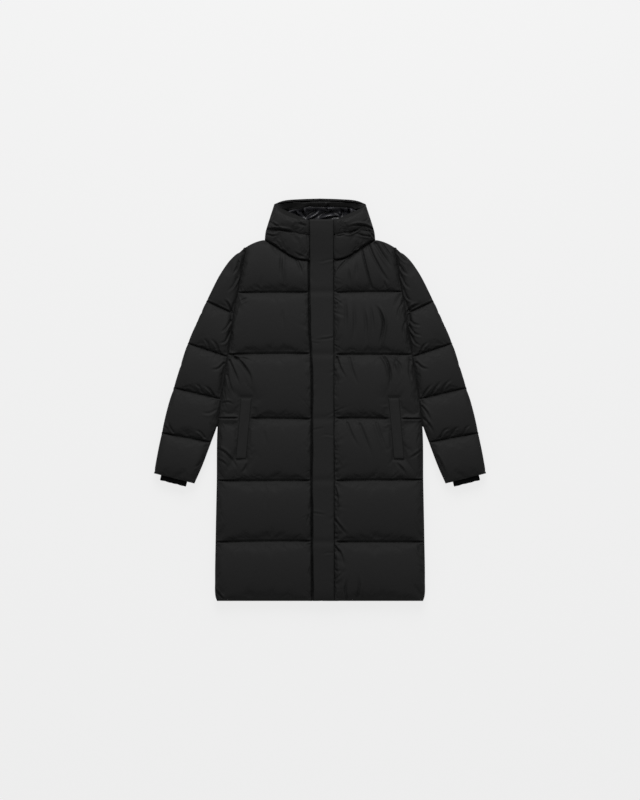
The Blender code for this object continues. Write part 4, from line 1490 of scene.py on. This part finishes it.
LINING_FOLDS = folds_at(
    (4.0, 7.5, 0.9, 1, 0, -52, 583, -50, 566, -46, 546),
    (6.0, 9.0, 0.8, -1, 0, -46, 545, -34, 556, -14, 568, -6, 580),
    (6.5, 9.5, 0.7, -1, 0, -10, 548, 10, 560, 36, 566, 50, 556),
    (5.5, 10.0, 0.9, 1, 0, 84, 584, 88, 568, 84, 550),
    (6.0, 6.0, 0.6, -1, 0, 60, 580, 68, 562, 64, 548),
    (4.5, 5.0, 0.8, 1, 0, -76, 572, -70, 560, -60, 548),
    (4.5, 5.0, 0.8, 1, 0, 16, 582, 24, 574, 40, 572),
    (4.0, 4.5, 0.8, 1, 0, 30, 546, 44, 552, 60, 546),
)
FACING_FOLDS = folds_at(
    (4.2, 5.0, 0.8, 1, 0, -106, 560, -84, 578, -48, 590, -6, 599),
    (4.0, 6.0, 0.8, 1, 0, -128, 576, -118, 572, -108, 562),
    (4.0, 4.0, 0.7, 1, 0, 12, 590, 22, 594, 32, 598),
    (4.2, 6.5, 0.8, -1, 0, 118, 584, 120, 572, 116, 562),
    (4.0, 4.0, 0.7, 1, 0, 92, 590, 102, 582, 108, 572),
)
FLAP_FOLDS = folds_at(
    (4.0, 2.0, 0.6, 1, 1, 40, 421, 22, 419, 4, 414, -12, 417),
    (4.2, 3.0, 0.8, -1, 1, 40, 188, 22, 184, 4, 182, -24, 176),
    (4.0, 1.8, 0.6, 1, 1, -26, 174, -8, 170, 6, 176),
    (4.5, 1.6, 0.6, 1, 1, -24, -90, 0, -85, 18, -82),
    (4.5, 1.6, 0.6, 1, 1, 40, -108, 18, -104, 0, -108),
    (4.2, 2.6, 0.7, 1, 1, -22, -338, 0, -341, 22, -346),
    (4.2, 2.0, 0.6, 1, 1, 41, -459, 22, -458, 4, -464),
    (4.5, 1.5, 0.6, 1, 1, 41, -40, 24, -46, 12, -60),
)


# --- The room ------------------------------------------------------------------------------------


@dataclass
class Studio:
    """The pale floor, the soft light and the camera straight above the coat."""

    view_height: float = 2.40
    lens: float = 180.0
    floor_tone: float = 0.05
    floor_glow: float = 0.79
    floor_half: float = 6.0
    floor_height: float = -0.0004
    sky: float = 0.70
    key_place: tuple[float, float, float] = (0.0, 3.4, 2.8)
    key_size: float = 2.6
    key_power: float = 310.0
    sensor: float = 36.0
    aim: float = 0.03

    def build(self) -> None:
        """Makes the room."""
        self.floor()
        self.light()
        self.camera()
        log.info("studio: floor, light and camera")

    def floor(self) -> None:
        """Lays a plain pale floor just under the coat."""
        turns = ((-1, -1), (1, -1), (1, 1), (-1, 1))
        corners = [(x * self.floor_half, y * self.floor_half, self.floor_height) for x, y in turns]
        mesh = bpy.data.meshes.new("floor")
        mesh.from_pydata(corners, [], [[0, 1, 2, 3]])
        plane = bpy.data.objects.new("floor", mesh)
        bpy.context.scene.collection.objects.link(plane)
        made = bpy.data.materials.new("floor_paint")
        made.use_nodes = True
        shader = made.node_tree.nodes["Principled BSDF"]
        shader.inputs["Base Color"].default_value = (*[self.floor_tone] * 3, 1)
        shader.inputs["Roughness"].default_value = 1.0
        shader.inputs["Specular IOR Level"].default_value = 0.0
        shader.inputs["Emission Color"].default_value = (1, 1, 1, 1)
        shader.inputs["Emission Strength"].default_value = self.floor_glow
        mesh.materials.append(made)

    def light(self) -> None:
        """Hangs a wide soft light over the hood's end, on top of an even pale sky."""
        world = bpy.data.worlds.new("sky")
        world.use_nodes = True
        shade = world.node_tree.nodes["Background"]
        shade.inputs["Color"].default_value = (1, 1, 1, 1)
        shade.inputs["Strength"].default_value = self.sky
        bpy.context.scene.world = world
        data = bpy.data.lights.new("key", "AREA")
        data.shape = "SQUARE"
        data.size = self.key_size
        data.energy = self.key_power
        lamp = bpy.data.objects.new("key", data)
        lamp.location = self.key_place
        lamp.rotation_euler = (-Vector(self.key_place)).to_track_quat("-Z", "Y").to_euler()
        bpy.context.scene.collection.objects.link(lamp)

    def camera(self) -> None:
        """Points a long lens straight down at the middle of the coat."""
        data = bpy.data.cameras.new("camera")
        data.lens = self.lens
        data.sensor_width = self.sensor
        data.clip_end = 100.0
        camera = bpy.data.objects.new("camera", data)
        camera.location = (0, 0, self.aim + self.view_height * self.lens / self.sensor)
        bpy.context.scene.collection.objects.link(camera)
        bpy.context.scene.camera = camera
        bpy.context.scene.view_settings.view_transform = "Standard"


def main() -> None:
    """Builds the coat's pieces in order, then the room."""
    logging.basicConfig(level=logging.INFO, format="%(name)s: %(message)s")
    wardrobe = Wardrobe()
    fronts = (Front(-1, FRONT_RIGHT_FOLDS), Front(1, FRONT_LEFT_FOLDS))
    sleeves = (Sleeve(-1, SLEEVE_RIGHT_FOLDS), Sleeve(1, SLEEVE_LEFT_FOLDS))
    hood_sides = (HoodSide(-1, HOOD_RIGHT_FOLDS), HoodSide(1, HOOD_LEFT_FOLDS))
    puffing = Puffing()
    halves = fronts + sleeves + hood_sides
    for piece in halves:
        piece.puff(puffing)
    puffed = puffing.run()
    log.info("padding: %d faces blown up", len(puffed))
    for piece in halves:
        piece.build(puffed, wardrobe)
    Back().build(wardrobe)
    for sleeve in sleeves:
        RibCuff(sleeve.side, sleeve).build(wardrobe)
        PocketWelt(sleeve.side).build(wardrobe)
    hood = Hood(LINING_FOLDS, FACING_FOLDS)
    hood.build_crown(wardrobe)
    hood.build_facing(wardrobe)
    hood.build_lining(wardrobe)
    StormFlap(FLAP_FOLDS).build(wardrobe)
    FrontZip().build(wardrobe)
    Studio().build()


if __name__ == "__main__":
    main()
